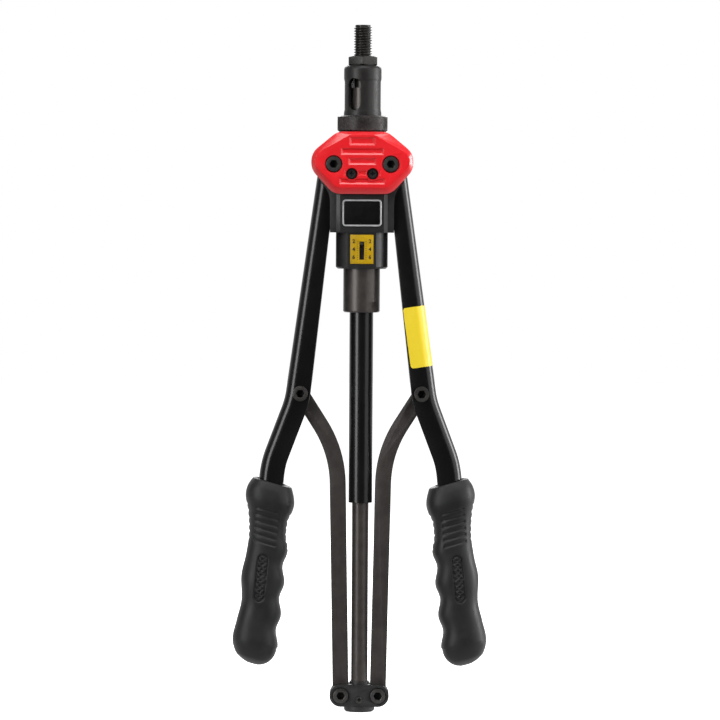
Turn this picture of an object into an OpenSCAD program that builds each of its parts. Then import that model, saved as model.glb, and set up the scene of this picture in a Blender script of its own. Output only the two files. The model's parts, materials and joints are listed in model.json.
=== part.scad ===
// Hand rivet nut tool with two long handles, a cam-driven drawbar and a self-spinning mandrel.
// Sizes are in millimetres. The origin is the centre of the anvil's outer face. +Z points out along
// the mandrel, +X is to the right in the front view, and the front of the tool faces -Y.
// The handles are drawn closed, as the tool hangs at rest.

/* [Mandrel and anvil] */
// Thread diameter of the mandrel
mandrel_d = 12; // [10:0.5:13]
// Length of the mandrel beyond the anvil
mandrel_out = 20.7; // [14:0.1:28]
// Length of the mandrel from the anvil face to its driver
mandrel_in = 20.9; // [18:0.1:23]
// Anvil nut across its flats
anvil_af = 19; // [18:0.5:21]
// Thickness of the anvil nut
anvil_h = 6; // [4:0.5:8]

/* [Nose] */
// Diameter of the nose sleeve
nose_d = 24.9; // [24:0.1:27]
// Length of the nose sleeve between anvil and collar
nose_len = 33.5; // [32:0.5:38]
// Depth of the relieved waist of the nose sleeve
waist_depth = 0.45; // [0.2:0.05:0.8]
// Width of the window in the nose sleeve
window_w = 9.4; // [6:0.2:10]
// Height of the window
window_h = 21; // [16:0.5:22]
// Turn of the window to the left of the front, in degrees
window_turn = 29; // [0:1:50]
// Diameter of the knurled collar
collar_d = 33.5; // [32:0.5:37]
// Height of the knurled collar
collar_h = 10.5; // [9:0.5:13]

/* [Head] */
// Distance of each handle pivot from the tool's axis
pivot_x = 18.85; // [18.5:0.05:20]
// Drop from the top of the head to the pivots
pivot_drop = 21.5; // [20.5:0.5:24]
// Diameter of the pivot pins
pivot_d = 9; // [7:0.5:9.5]
// Width of the covers at the pivots
cover_w = 67.4; // [64:0.2:74]
// Width of the covers along their top edge
cover_top_w = 33; // [30:0.5:38]
// Width of the covers along their bottom edge
cover_bottom_w = 38; // [34:0.5:44]
// Height of the covers
cover_h = 41.2; // [38:0.2:44]
// Thickness of each cover
cover_t = 8; // [7.5:0.1:10]
// Width of the bevel round each cover
cover_bevel = 4.2; // [2:0.1:5]
// Depth of the bars sunk in the covers
bar_depth = 1.2; // [0.5:0.1:1.4]
// Thickness of the casting's cheeks
cheek_t = 3.6; // [3:0.1:5]
// Wall of the casting round the drawbar
core_wall = 3.6; // [3:0.1:4.2]
// Width of the casting's block
block_w = 42.4; // [40:0.2:46]
// Drop from the top of the head to the bottom of the block
block_drop = 66.7; // [64:0.1:72]
// Diameter of the round stage
stage_d = 34.5; // [32:0.5:38]
// Height of the round stage
stage_h = 24; // [22.5:0.5:30]

/* [Handles] */
// Swing of each handle from closed to open, in degrees
handle_open = 46.5; // [40:0.5:48]
// Lean of the upper part of each handle, in degrees
handle_lean = 8; // [7:0.1:9]
// Lean of the elbow part, in degrees
elbow_lean = 20.65; // [18:0.05:24]
// Lean of the grip part, in degrees
grip_lean = 5.65; // [4:0.05:8]
// Length of the upper part, from the pivot to the first bend
upper_len = 159.5; // [150:0.5:175]
// Length of the elbow part between the bends
elbow_len = 44.35; // [40:0.05:55]
// Length of the grip part after the second bend
grip_run = 114.6; // [105:0.1:116]
// Width of the channel, seen from the front
channel_w = 16.4; // [15.5:0.1:17]
// Depth of the channel, from front to back
channel_d = 20; // [18:0.5:21]
// Thickness of the channel's sheet
sheet_t = 2; // [1.5:0.1:2.5]
// Radius of the channel's outer corners
channel_r = 4; // [3:0.1:5]
// Radius of the handle's bends
handle_bend_r = 60; // [40:1:65]
// Taper of the flanges at the top of the channel
flange_taper = 4.6; // [3:0.1:5]

/* [Grips] */
// Length of each grip
grip_len = 122; // [118:0.5:130]
// Tilt of the grip's rim and ribs, in degrees
grip_tilt = 10; // [0:0.5:12]
// Pitch of the finger hollows
finger_pitch = 21.4; // [19:0.1:23]
// Depth of the finger hollows
finger_depth = 2.3; // [1:0.1:3]
// Slack between the rubber and the channel
grip_slack = 0.15; // [0.1:0.05:0.3]

/* [Links and crosshead] */
// Width of the link bars
link_w = 10.7; // [10:0.1:12]
// Thickness of the link bars
link_t = 4; // [3:0.1:5]
// Distance of the link bolts down the handle from the pivot
link_bolt_drop = 153.6; // [140:0.1:158]
// Drop from the link bolts to the crosshead bolts
link_drop = 201.1; // [190:0.1:215]
// Drop from the link bolts to the bend of the links
link_bend_drop = 39; // [36:0.5:45]
// Radius of the bend of the links
link_bend_r = 75; // [50:1:80]
// Gap between the link bars and the guide tube at the bend
link_tube_gap = 2.3; // [1.5:0.1:4]
// Shoulder diameter of the link bolts
link_bolt_d = 7; // [5:0.1:7.4]
// Radius of the crosshead's ends
crosshead_r = 7.4; // [6.8:0.1:9]
// Depth of the crosshead, from front to back
crosshead_d = 18; // [16:0.5:22]
// Diameter of the rod
rod_d = 11; // [10:0.1:11.4]

/* [Stroke adjuster] */
// Diameter of the adjuster sleeve
sleeve_d = 24.3; // [23:0.1:25]
// Length of the adjuster sleeve below the stage
sleeve_out = 29; // [24:0.5:34]
// Diameter of the guide tube
tube_d = 15.7; // [15:0.1:16.5]
// Length of the guide tube
tube_len = 170.6; // [160:0.2:180]
// Wall of the guide tube
tube_wall = 1.2; // [1:0.05:1.3]
// Width of the scale plate
scale_w = 15.4; // [13:0.2:17]
// Height of the scale plate
scale_h = 19.3; // [17:0.1:20]
// Width of the slot in the scale
slot_w = 3.2; // [3:0.1:4]
// Length of the slot in the scale
slot_len = 12; // [11:0.5:13]

/* [Drive] */
// Diameter of the drawbar
drawbar_d = 18.8; // [18:0.1:19]
// Stroke of the drawbar
stroke = 7.9; // [5:0.1:8]
// Drop of the drawbar's shoulder below the pivots when closed
cam_fall = 9; // [8.5:0.1:9.5]
// Radius left in the drawbar's groove
groove_r = 6.5; // [5.5:0.1:7.4]
// Diameter of the spiral bar over its corners
spiral_d = 6; // [5:0.1:6.2]
// Length of the spiral bar
spiral_len = 128; // [110:1:135]
// Advance of the spiral in one turn
spiral_lead = 15.6; // [12:0.1:30]

/* [Clearances] */
// Radial room of a part that turns or slides in another
run_gap = 0.06; // [0.03:0.01:0.1]
// Room round a part that is fixed in another
seat_gap = 0.05; // [0.02:0.01:0.1]
// Room between faces that pass each other
face_gap = 0.3; // [0.2:0.05:0.5]

/* [Hidden] */
$fn = 64;

// Colours
red_paint = [0.86, 0.11, 0.13];
black_paint = [0.11, 0.11, 0.12];
black_enamel = [0.05, 0.05, 0.05];
grey_steel = [0.33, 0.30, 0.29];
dark_steel = [0.19, 0.19, 0.18];
plain_steel = [0.62, 0.62, 0.64];
rubber = [0.17, 0.17, 0.18];
yellow = [0.93, 0.72, 0.08];
bronze = [0.66, 0.50, 0.26];

// Standard screws
m6_r = 3;
m6_head_r = 5;
m6_head_h = 6;
m6_key = 5;
m6_key_depth = 4;
m6_nut_af = 10;
m6_nut_h = 5;
m6_cbore_r = 5.75;
m4_r = 2;
m4_head_r = 3.5;
m4_head_h = 2.6;
m4_cbore_r = 3.85;
through = 200;

// Heights of the nose and head
mandrel_r = mandrel_d / 2;
nose_r = nose_d / 2;
lip_t = 1.7;
nose_flange_t = 1.7;
nose_flange_w = 1.75;
z_nose = -anvil_h;
z_collar = z_nose - nose_len;
z_lip = z_collar - lip_t;
z_neck = z_lip - run_gap - nose_flange_t;
z_head = z_collar - collar_h - face_gap;
z_pivot = z_head - pivot_drop;
z_block = z_head - block_drop;
z_stage = z_block - stage_h;
neck_r = nose_r + nose_flange_w;

// Drawbar and cam lobes
pivot_r = pivot_d / 2;
drawbar_r = drawbar_d / 2;
cam_half = 5.5;
cam_gap = 0.15;
cam_steps = 16;
groove_rise = 5;
lobe_room = 0.65;
rim_reach = pivot_x - drawbar_r;
lobe_r = norm([rim_reach, cam_fall]);
z_press = z_pivot - cam_fall;
cap_t = 3.5;
thrust_t = 1.5;
spindle_flange_t = 4;
spindle_flange_r = 7;
spindle_neck_r = 4.5;
spindle_shaft_r = 3.4;
z_cap = z_neck - face_gap;
z_drawbar = z_cap - cap_t;
z_thrust = z_drawbar - thrust_t;
spindle_drop = 43.7;
z_spindle_end = z_head - spindle_drop;
skirt_r = 8.2;
z_skirt = z_spindle_end + 6;
z_drawbar_end = z_block - 1.4;
core_r = drawbar_r + run_gap + core_wall;

// Casting
cheek_in = channel_d / 2 + 0.4;
cheek_out = cheek_in + cheek_t;
block_step = 1.5;
block_front = cheek_out + block_step;
block_flat_w = 29;
block_side = 1.1;
cheek_inset = 1.2;
top_wall = 5.7;
shoulder_r = 16.5;
shoulder_drop = 46.7;
shoulder_arc = 52;
cover_side_drop = 14.2;
cover_side_h = 11;
cover_corner_r = 11;
face_corner_r = 6.5;
cover_face = cheek_out + cover_t;
cover_screw = [6.9, z_head - 27.9];
stage_flat = 14.4;
stage_chamfer = 1.2;
plate_t = 0.8;
scale_t = 0.5;
z_scale = z_block - 1.4 - scale_h / 2;
z_slot = z_scale - 0.9;

// Stroke adjuster
sleeve_r = sleeve_d / 2;
tube_r = tube_d / 2;
tube_bore_r = tube_r - tube_wall;
rod_r = rod_d / 2;
stop_h = 7;
z_stop = z_drawbar_end - 0.5;
z_sleeve = z_stop - stop_h - 0.2;
z_sleeve_end = z_stage - sleeve_out;
z_tube_end = z_sleeve - tube_len;
bush_h = 12;

// Handle path, drawn in the front view as [x, z] points of the right handle
function along(a) = [sin(a), -cos(a)];
function across(a) = [cos(a), sin(a)];
web_offset = 9.75;
pivot = [pivot_x, z_pivot];
handle_start = pivot + across(handle_lean) * (web_offset - channel_w / 2);
first_bend = handle_start + along(handle_lean) * upper_len;
second_bend = first_bend + along(elbow_lean) * elbow_len;
handle_end = second_bend + along(grip_lean) * grip_run;
channel_top = 8.5;
handle_path = [handle_start - along(handle_lean) * channel_top, first_bend, second_bend, handle_end];
lug_r = 8.4;
lug_room = 1;
cam_r = 7.5;
tang_len = 42;

// Links and crosshead, in the same drawing
link_bolt_r = link_bolt_d / 2;
link_bolt_inset = 1.5;
link_bolt_at = handle_start + along(handle_lean) * link_bolt_drop - across(handle_lean) * link_bolt_inset;
eye_rim = 0.2;
eye_r = link_w / 2 + eye_rim;
hub_wall = 1.05;
hub_half = rod_r + hub_wall;
link_side_gap = 0.25;
link_face_gap = 0.4;
link_slot = link_t / 2 + link_face_gap;
crosshead_bolt = [hub_half + link_side_gap + eye_r, link_bolt_at[1] - link_drop];
link_bend = [tube_r + link_tube_gap + link_w / 2, link_bolt_at[1] - link_bend_drop];
link_bush_r = 4;
hub_r = 10.4;
hub_rise = 9.2;
hub_fall = 11;
hub_chamfer = 1.4;
head_sink = 3.5;
z_set_screw = crosshead_bolt[1] - 2.8;
set_screw_r = 2.6;
z_rod_end = crosshead_bolt[1] - 7;
rod_in = 91.7;
z_nut = z_tube_end + rod_in;
nut_h = 12;
nut_spigot = 6;
nut_r = tube_bore_r - 0.25;
spiral_room = 0.2;
z_spiral_end = z_spindle_end - spiral_len;
coupling_len = 10;
coupling_r = 5.5;

// Grip outline along the grip's axis: distance from the second bend, then the offset from the axis
grip_from = 12;
grip_to = grip_from + grip_len;
palm_line = [
    [12, 12], [18.5, 15.2], [25.5, 16], [35.5, 13.2], [50.5, 11.2], [64.5, 11.8], [78.5, 13.4],
    [94.5, 11.6], [108.5, 13.4], [grip_to - 13, 15], [grip_to - 5, 12.2], [grip_to - 1.6, 8], [grip_to, 4]
];
finger_line = [[12, 13.9], [18, 16.1], [23, 16.9], [28, 16.1], [34, 14], [40, 13.6], [46, 14.7]];
depth_line = [
    [12, 12.6], [18, 15], [25, 16], [36, 13.8], [50, 13.2], [78, 14], [95, 13.6], [110, 14.5],
    [grip_to - 13, 15], [grip_to - 5, 12], [grip_to - 1.6, 7.5], [grip_to, 3.5]
];
first_crest = 54.4;
finger_mean = 14.7;
finger_from = 46;
finger_end_drop = 15;
grip_sides = 24;
grip_roundness = 0.78;

// General functions
function unit(v) = v / norm(v);
function heading(p, q) = atan2(q[0] - p[0], p[1] - q[1]);
function flip_x(points) = [for (p = points) [-p[0], p[1]]];
function signed_power(v, e) = sign(v) * pow(abs(v), e);

// Slope of a curve through the points p at point i, and the curve's height at x
function slope(p, i) =
    let (a = p[max(i - 1, 0)], b = p[min(i + 1, len(p) - 1)]) (b[1] - a[1]) / (b[0] - a[0]);
function curve(p, x, i = 0) =
    i < len(p) - 2 && x > p[i + 1][0] ? curve(p, x, i + 1)
    : let (h = p[i + 1][0] - p[i][0], t = (x - p[i][0]) / h)
        (2 * pow(t, 3) - 3 * pow(t, 2) + 1) * p[i][1]
        + (pow(t, 3) - 2 * pow(t, 2) + t) * h * slope(p, i)
        + (3 * pow(t, 2) - 2 * pow(t, 3)) * p[i + 1][1]
        + (pow(t, 3) - pow(t, 2)) * h * slope(p, i + 1);

// Points of an arc, a convex outline moved inwards, and an outline with rounded corners
function arc(c, r, a0, a1, n) = [for (k = [0 : n]) let (a = a0 + (a1 - a0) * k / n) c + r * [cos(a), sin(a)]];
function left_of(v) = [-v[1], v[0]];
function inset(p, d) = [
    for (i = [0 : len(p) - 1])
        let (a = p[(i + len(p) - 1) % len(p)], b = p[i], c = p[(i + 1) % len(p)],
             n1 = left_of(unit(b - a)), n2 = left_of(unit(c - b)))
            b + d * (n1 + n2) / (1 + n1 * n2)
];
function rounded(p, r, n = 4) = [
    for (i = [0 : len(p) - 1])
        let (a = p[(i + len(p) - 1) % len(p)], b = p[i], c = p[(i + 1) % len(p)],
             u = unit(a - b), v = unit(c - b), half = acos(u * v) / 2,
             centre = b + unit(u + v) * r / sin(half),
             from = b + u * r / tan(half) - centre, to = b + v * r / tan(half) - centre,
             a0 = atan2(from[1], from[0]), turn = (atan2(to[1], to[0]) - a0 + 540) % 360 - 180)
            each arc(centre, r, a0, a0 + turn, n)
];

// Round bars along Z and along Y, and a front-view drawing made into a slab between two depths
module bar_z(r, z0, z1) { translate([0, 0, min(z0, z1)]) cylinder(r = r, h = abs(z1 - z0)); }
module bar_y(at, r, y0, y1) {
    translate([at[0], min(y0, y1), at[1]]) rotate([-90, 0, 0]) cylinder(r = r, h = abs(y1 - y0));
}
module hex_y(at, af, y0, y1) {
    translate([at[0], min(y0, y1), at[1]]) rotate([-90, 0, 0])
        cylinder(r = af / sqrt(3), h = abs(y1 - y0), $fn = 6);
}
module slab_y(y0, y1) {
    translate([0, max(y0, y1), 0]) rotate([90, 0, 0]) linear_extrude(abs(y1 - y0)) children();
}
module front_view() { rotate([90, 0, 0]) children(); }
module on_side(side) { mirror([side < 0 ? 1 : 0, 0, 0]) children(); }
module both_sides() {
    children();
    mirror([1, 0, 0]) children();
}
module front_and_back() {
    children();
    mirror([0, 1, 0]) children();
}

// Solid through a list of rings that have as many points each. The end of a folded ring, whose second
// half runs back along its first, is closed by a strip of quads.
function ring_end(n, folded) =
    folded ? [for (i = [0 : n / 2 - 2]) [i, i + 1, n - 2 - i, n - 1 - i]] : [[for (i = [0 : n - 1]) i]];
module lofted(rings, folded = false) {
    n = len(rings[0]);
    last = len(rings) - 1;
    points = [for (ring = rings) each ring];
    sides = [for (k = [0 : last - 1], i = [0 : n - 1])
        [k * n + i, (k + 1) * n + i, (k + 1) * n + (i + 1) % n, k * n + (i + 1) % n]];
    start = ring_end(n, folded);
    finish = [for (face = start) [for (i = [len(face) - 1 : -1 : 0]) last * n + face[i]]];
    polyhedron(points, concat(start, sides, finish));
}

// Stations [point, heading] along a path whose corners are bends of radius r, with n steps to a bend
function corner_run(p, i, r) = r * tan(abs(heading(p[i], p[i + 1]) - heading(p[i - 1], p[i])) / 2);
function bend_stations(p, i, r, n) =
    let (a = heading(p[i - 1], p[i]), b = heading(p[i], p[i + 1]), arm = b > a ? r : -r,
         centre = p[i] - along(a) * corner_run(p, i, r) + across(a) * arm)
        [for (k = [0 : n]) let (t = a + (b - a) * k / n) [centre - across(t) * arm, t]];
function stations(p, r, n) = let (last = len(p) - 1) concat(
    [[p[0], heading(p[0], p[1])]],
    [for (i = [1 : last - 1]) each bend_stations(p, i, r, n)],
    [[p[last], heading(p[last - 1], p[last])]]
);
module ribbon(line, w) {
    last = len(line) - 1;
    polygon(concat(
        [for (s = line) s[0] + across(s[1]) * w / 2],
        [for (k = [last : -1 : 0]) line[k][0] - across(line[k][1]) * w / 2]
    ));
}

// Bar with two rounded corners on its +x side
module rounded_bar(x0, x1, d, r) {
    translate([x0, -d / 2]) square([x1 - x0 - r, d]);
    translate([x0, r - d / 2]) square([x1 - x0, d - 2 * r]);
    for (y = [r - d / 2, d / 2 - r]) translate([x1 - r, y]) circle(r);
}

// Mandrel, with a six-sided tail in its driver
tail_af = 9;
tail_len = 9;
shank_relief = 0.6;
module mandrel() {
    color(black_enamel) {
        bar_z(mandrel_r, 0, mandrel_out - 1);
        translate([0, 0, mandrel_out - 1]) cylinder(r1 = mandrel_r, r2 = mandrel_r - 1, h = 1);
        bar_z(mandrel_r - shank_relief, 0, -mandrel_in);
        translate([0, 0, -mandrel_in - tail_len]) cylinder(r = tail_af / sqrt(3), h = tail_len, $fn = 6);
    }
}

// Anvil nut: hexagon with chamfered corners and a spigot in the nose sleeve
spigot_r = 8;
spigot_h = 5;
crown_drop = 0.9;
module anvil_nut() {
    crown = anvil_af / 2 - 0.4;
    corner = anvil_af / sqrt(3);
    rim = corner + 0.2;
    color(dark_steel) difference() {
        union() {
            intersection() {
                translate([0, 0, z_nose]) rotate(30) cylinder(r = corner, h = anvil_h, $fn = 6);
                rotate_extrude() polygon([
                    [0, 0], [crown, 0], [rim, -crown_drop],
                    [rim, z_nose + crown_drop], [crown, z_nose], [0, z_nose]
                ]);
            }
            bar_z(spigot_r - seat_gap, z_nose, z_nose - spigot_h);
        }
        bar_z(mandrel_r + face_gap, 1, z_nose - spigot_h - 1);
    }
}

// Nose sleeve: turned outside, with a window on each side and a flange under the collar
nose_bore_r = 8.6;
nose_round = 3;
waist_top = 9;
waist_run = 2;
window_drop = 8.8;
module nose_sleeve() {
    waist_r = nose_r - waist_depth;
    z_wide = z_neck + stroke + 1;
    window_r = window_w / 2;
    color(dark_steel) difference() {
        rotate_extrude() polygon(concat(
            [[spigot_r, z_nose]],
            arc([nose_r - nose_round, z_nose - nose_round], nose_round, 90, 0, 6),
            [
                [nose_r, z_nose - waist_top], [waist_r, z_nose - waist_top - waist_run],
                [waist_r, z_collar + 2 * waist_run], [nose_r, z_collar + waist_run],
                [nose_r, z_lip - run_gap], [neck_r - seat_gap, z_lip - run_gap], [neck_r - seat_gap, z_neck],
                [drawbar_r + face_gap, z_neck], [drawbar_r + face_gap, z_wide], [nose_bore_r, z_wide],
                [nose_bore_r, z_nose - spigot_h - 1], [spigot_r, z_nose - spigot_h - 1]
            ]
        ));
        rotate(-window_turn) translate([0, 0, z_nose - window_drop]) {
            for (z = [-window_r, window_r - window_h]) bar_y([0, z], window_r, -nose_d, nose_d);
            translate([-window_r, -nose_d, window_r - window_h])
                cube([window_w, 2 * nose_d, window_h - window_w]);
        }
    }
}

// Union collar that turns on the casting's neck
collar_edge = 0.8;
module lock_collar() {
    r = collar_d / 2;
    z1 = z_collar - collar_h;
    color(dark_steel) rotate_extrude() polygon([
        [nose_r + run_gap, z_collar], [r - collar_edge, z_collar], [r, z_collar - collar_edge],
        [r, z1 + collar_edge], [r - collar_edge, z1], [neck_r + run_gap, z1], [neck_r + run_gap, z_lip],
        [nose_r + run_gap, z_lip]
    ]);
}

// Eight-sided outline of the covers
cover_half = [for (p = [
    [cover_bottom_w / 2, cover_h], [cover_w / 2, cover_side_drop + cover_side_h],
    [cover_w / 2, cover_side_drop], [cover_top_w / 2, 0]
]) [p[0], z_head - p[1]]];
cover_corners = concat(cover_half, flip_x([for (i = [len(cover_half) - 1 : -1 : 0]) cover_half[i]]));

// Head casting: neck, core round the drawbar, two cheeks with shoulders, chamfered block and round stage
module cheek_outline() {
    block_half = block_w / 2;
    z_shoulder = z_head - shoulder_drop;
    side = concat(
        [[block_half, z_block], [block_half, z_shoulder]],
        arc([block_half + shoulder_r, z_shoulder], shoulder_r, 180, 180 - shoulder_arc, 8)
    );
    top = [side[len(side) - 1][0], z_pivot];
    polygon(inset(cover_corners, cheek_inset));
    polygon(concat(side, [top], [flip_x([top])[0]], flip_x([for (i = [len(side) - 1 : -1 : 0]) side[i]])));
}
module block_plan() {
    half = block_w / 2;
    flat_half = block_flat_w / 2;
    polygon([
        [-half, -cheek_in], [-half, -cheek_in - block_side], [-flat_half, -block_front],
        [flat_half, -block_front], [half, -cheek_in - block_side], [half, -cheek_in]
    ]);
}
module head_casting() {
    z_block_top = z_head - cover_h - face_gap;
    stage_r = stage_d / 2;
    z_bore = z_block - 1;
    bore_r = sleeve_r + run_gap;
    color(black_paint) difference() {
        union() {
            bar_z(neck_r, z_neck, z_head);
            bar_z(core_r, z_head, z_block);
            translate([-cover_top_w / 2 + cheek_inset, -cheek_in, z_head - top_wall])
                cube([cover_top_w - 2 * cheek_inset, 2 * cheek_in, top_wall]);
            front_and_back() {
                slab_y(-cheek_out, -cheek_in) cheek_outline();
                translate([0, 0, z_block]) linear_extrude(z_block_top - z_block) block_plan();
            }
            difference() {
                rotate_extrude() polygon([
                    [0, z_block], [stage_r, z_block], [stage_r, z_stage + stage_chamfer],
                    [stage_r - stage_chamfer, z_stage], [0, z_stage]
                ]);
                translate([-stage_r, -stage_flat - stage_r, z_stage - 1])
                    cube([stage_d, stage_r, stage_h + 1]);
            }
        }
        bar_z(drawbar_r + run_gap, z_neck + 1, z_bore - 1);
        bar_z(bore_r, z_bore, z_stage - 1);
        translate([-slot_w / 2, -stage_d, z_slot - slot_len / 2]) cube([slot_w, stage_d, slot_len]);
        both_sides() {
            bar_y(pivot, lug_r + lug_room, -cheek_in, cheek_in);
            bar_y(pivot, lobe_r + lobe_room, -cam_half - lobe_room, cam_half + lobe_room);
            bar_y(pivot, pivot_r + seat_gap, -through, through);
            front_and_back() bar_y(cover_screw, m4_r + seat_gap, -cover_face, -screw_tip + seat_gap);
        }
    }
}

// Covers: bevelled plates with sunk bars and counterbores. The face has its own corners, so the bevels are
// wide beside the top edge and narrow at the sides. Each bar is its drop from the top, height and width.
bar_rows = [[6.35, 5.5, 17], [13.15, 4.5, 28.2], [19.7, 4.6, 18.4], [27.2, 3.6, 24], [32.8, 4, 30]];
face_top_in = 8.2;
face_top_drop = 2.2;
face_side_in = 2.4;
face_half = [for (p = [
    [cover_bottom_w / 2 - face_side_in, cover_h - cover_bevel],
    [cover_w / 2 - face_side_in, cover_side_drop + cover_side_h - face_side_in],
    [cover_w / 2 - face_side_in, cover_side_drop + face_side_in / 2],
    [cover_top_w / 2 - face_top_in, face_top_drop]
]) [p[0], z_head - p[1]]];
face_corners = concat(face_half, flip_x([for (i = [len(face_half) - 1 : -1 : 0]) face_half[i]]));
screw_boss_r = 4.6;
cbore_depth = 6.2;
screw_sink = 4.2;
screw_tip = cheek_out - 5.2;
module sunk_bar(row) {
    rise = 1;
    z = z_head - row[0];
    front_view() lofted([for (d = [[-bar_depth, cover_face - bar_depth], [rise, cover_face + rise]])
        [for (c = [[-1, -1], [1, -1], [1, 1], [-1, 1]])
            [c[0] * (row[2] / 2 + d[0]), z + c[1] * (row[1] / 2 + d[0]), d[1]]]]);
}
module cover() {
    base = rounded(cover_corners, cover_corner_r);
    face = rounded(face_corners, face_corner_r);
    bevel_h = 3;
    depths = [[base, cheek_out], [base, cover_face - bevel_h], [face, cover_face]];
    color(red_paint) difference() {
        front_view() lofted([for (d = depths) [for (p = d[0]) [p[0], p[1], d[1]]]]);
        difference() {
            for (row = bar_rows) sunk_bar(row);
            both_sides() bar_y(cover_screw, screw_boss_r, -cover_face - 2, 0);
        }
        both_sides() {
            bar_y(pivot, m6_cbore_r, -cover_face - 1, -cover_face + cbore_depth);
            bar_y(pivot, m6_r + seat_gap, -cover_face, 0);
            bar_y(cover_screw, m4_cbore_r, -cover_face - 1, -cover_face + screw_sink);
            bar_y(cover_screw, m4_r + seat_gap, -cover_face, 0);
        }
    }
}
module front_cover() { cover(); }
module rear_cover() { mirror([0, 1, 0]) cover(); }

// Pivot pins, tapped at both ends, with the screws that hold them between the covers
pin_tap = 10;
module pivot_pins() {
    color(plain_steel) both_sides() difference() {
        bar_y(pivot, pivot_r, -cheek_out, cheek_out);
        front_and_back() bar_y(pivot, m6_r + seat_gap, -cheek_out - 1, -cheek_out + pin_tap);
    }
}
module pivot_screws() {
    seat = cover_face - cbore_depth;
    top = seat + m6_head_h;
    color(dark_steel) both_sides() front_and_back() difference() {
        union() {
            bar_y(pivot, m6_head_r, -top, -seat);
            bar_y(pivot, m6_r, -seat, -cheek_out + pin_tap - 1);
        }
        hex_y(pivot, m6_key, -top - 1, -top + m6_key_depth);
    }
}
module cross_recess(at, face, size) {
    for (w = [[size, size / 4], [size / 4, size]])
        translate([at[0] - w[0] / 2, face - 1, at[1] - w[1] / 2]) cube([w[0], 2.2, w[1]]);
}
module cover_screws() {
    seat = cover_face - screw_sink;
    top = seat + m4_head_h;
    color(dark_steel) both_sides() front_and_back() difference() {
        union() {
            bar_y(cover_screw, m4_head_r, -top, -seat);
            bar_y(cover_screw, m4_r, -seat, -screw_tip);
        }
        cross_recess(cover_screw, -top, 3.4);
    }
}

// Plates on the front of the casting
name_w = 26.3;
name_h = 18;
name_drop = 53.7;
module name_plate() {
    z = z_head - name_drop;
    corners = [[-1, -1], [1, -1], [1, 1], [-1, 1]];
    color(black_enamel) slab_y(-block_front - plate_t, -block_front)
        translate([0, z]) polygon(rounded([for (c = corners) [c[0] * name_w / 2, c[1] * name_h / 2]], 1.6));
}
module scale_plate() {
    color(yellow) slab_y(-stage_flat - scale_t, -stage_flat) difference() {
        translate([-scale_w / 2, z_scale - scale_h / 2]) square([scale_w, scale_h]);
        translate([-slot_w / 2, z_slot - slot_len / 2]) square([slot_w, slot_len]);
    }
}

// Handle channel: bent U section whose flanges taper towards the pivot lug
corner_steps = 4;
function corner_pair(x, y, r) = concat(
    arc([x - r, r - y], r, -90, 0, corner_steps), arc([x - r, y - r], r, 0, 90, corner_steps)
);
function channel_section(tip) =
    let (x = channel_w / 2, y = channel_d / 2,
         inner = corner_pair(x - sheet_t, y - sheet_t, channel_r - sheet_t))
        concat(
            [[tip, -y]], corner_pair(x, y, channel_r), [[tip, y], [tip, y - sheet_t]],
            [for (i = [len(inner) - 1 : -1 : 0]) inner[i]], [[tip, sheet_t - y]]
        );
function flange_tip(drop) = let (full = link_bolt_drop - 8)
    -channel_w / 2 + flange_taper * max(0, full - drop) / (full + channel_top);
function channel_ring(station) = [
    for (p = channel_section(flange_tip((station[0] - handle_start) * along(handle_lean))))
        let (q = station[0] + across(station[1]) * p[0]) [q[0], q[1], p[1]]
];
module handle_channel(side) {
    color(black_enamel) on_side(side) difference() {
        union() {
            front_view()
                lofted([for (s = stations(handle_path, handle_bend_r, 6)) channel_ring(s)], folded = true);
            front_and_back() bar_y(pivot, lug_r, -channel_d / 2, sheet_t - channel_d / 2);
        }
        bar_y(pivot, pivot_r + run_gap, -channel_d, channel_d);
        bar_y(link_bolt_at, link_bolt_r + seat_gap, -channel_d, channel_d);
    }
}
module left_handle_channel() { handle_channel(-1); }
module right_handle_channel() { handle_channel(1); }

// Cam: boss and tang inside the channel, with a lobe that presses the drawbar's shoulder down as the
// handle closes. Each point of the lobe meets the rim of the shoulder at its own opening of the handle.
function lobe_point(open) =
    let (fall = cam_fall - stroke * open / handle_open, r = norm([rim_reach, fall]) - cam_gap,
         a = 180 + atan2(fall, rim_reach) - open)
        r * [cos(a), sin(a)];
module cam(side) {
    web_in = channel_w / 2 - sheet_t - seat_gap;
    depth = channel_d - 2 * sheet_t - 2 * seat_gap;
    color(plain_steel) on_side(side) difference() {
        union() {
            intersection() {
                front_view() translate(handle_start - along(handle_lean) * tang_len)
                    rotate([90, 0, handle_lean]) linear_extrude(2 * tang_len)
                    rounded_bar(-3 * channel_w, web_in, depth, channel_r - sheet_t);
                union() {
                    bar_y(pivot, cam_r, -depth, depth);
                    front_view() translate(handle_start) rotate([90, 0, handle_lean])
                        linear_extrude(tang_len)
                        translate([-cam_r / 2, -depth]) square([cam_r / 2 + web_in, 2 * depth]);
                }
            }
            slab_y(-cam_half, cam_half) translate(pivot) polygon(concat(
                [[0, 0]], [for (k = [0 : cam_steps]) lobe_point(handle_open * k / cam_steps)]
            ));
        }
        bar_y(pivot, pivot_r + run_gap, -channel_d, channel_d);
    }
}
module left_cam() { cam(-1); }
module right_cam() { cam(1); }

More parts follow.
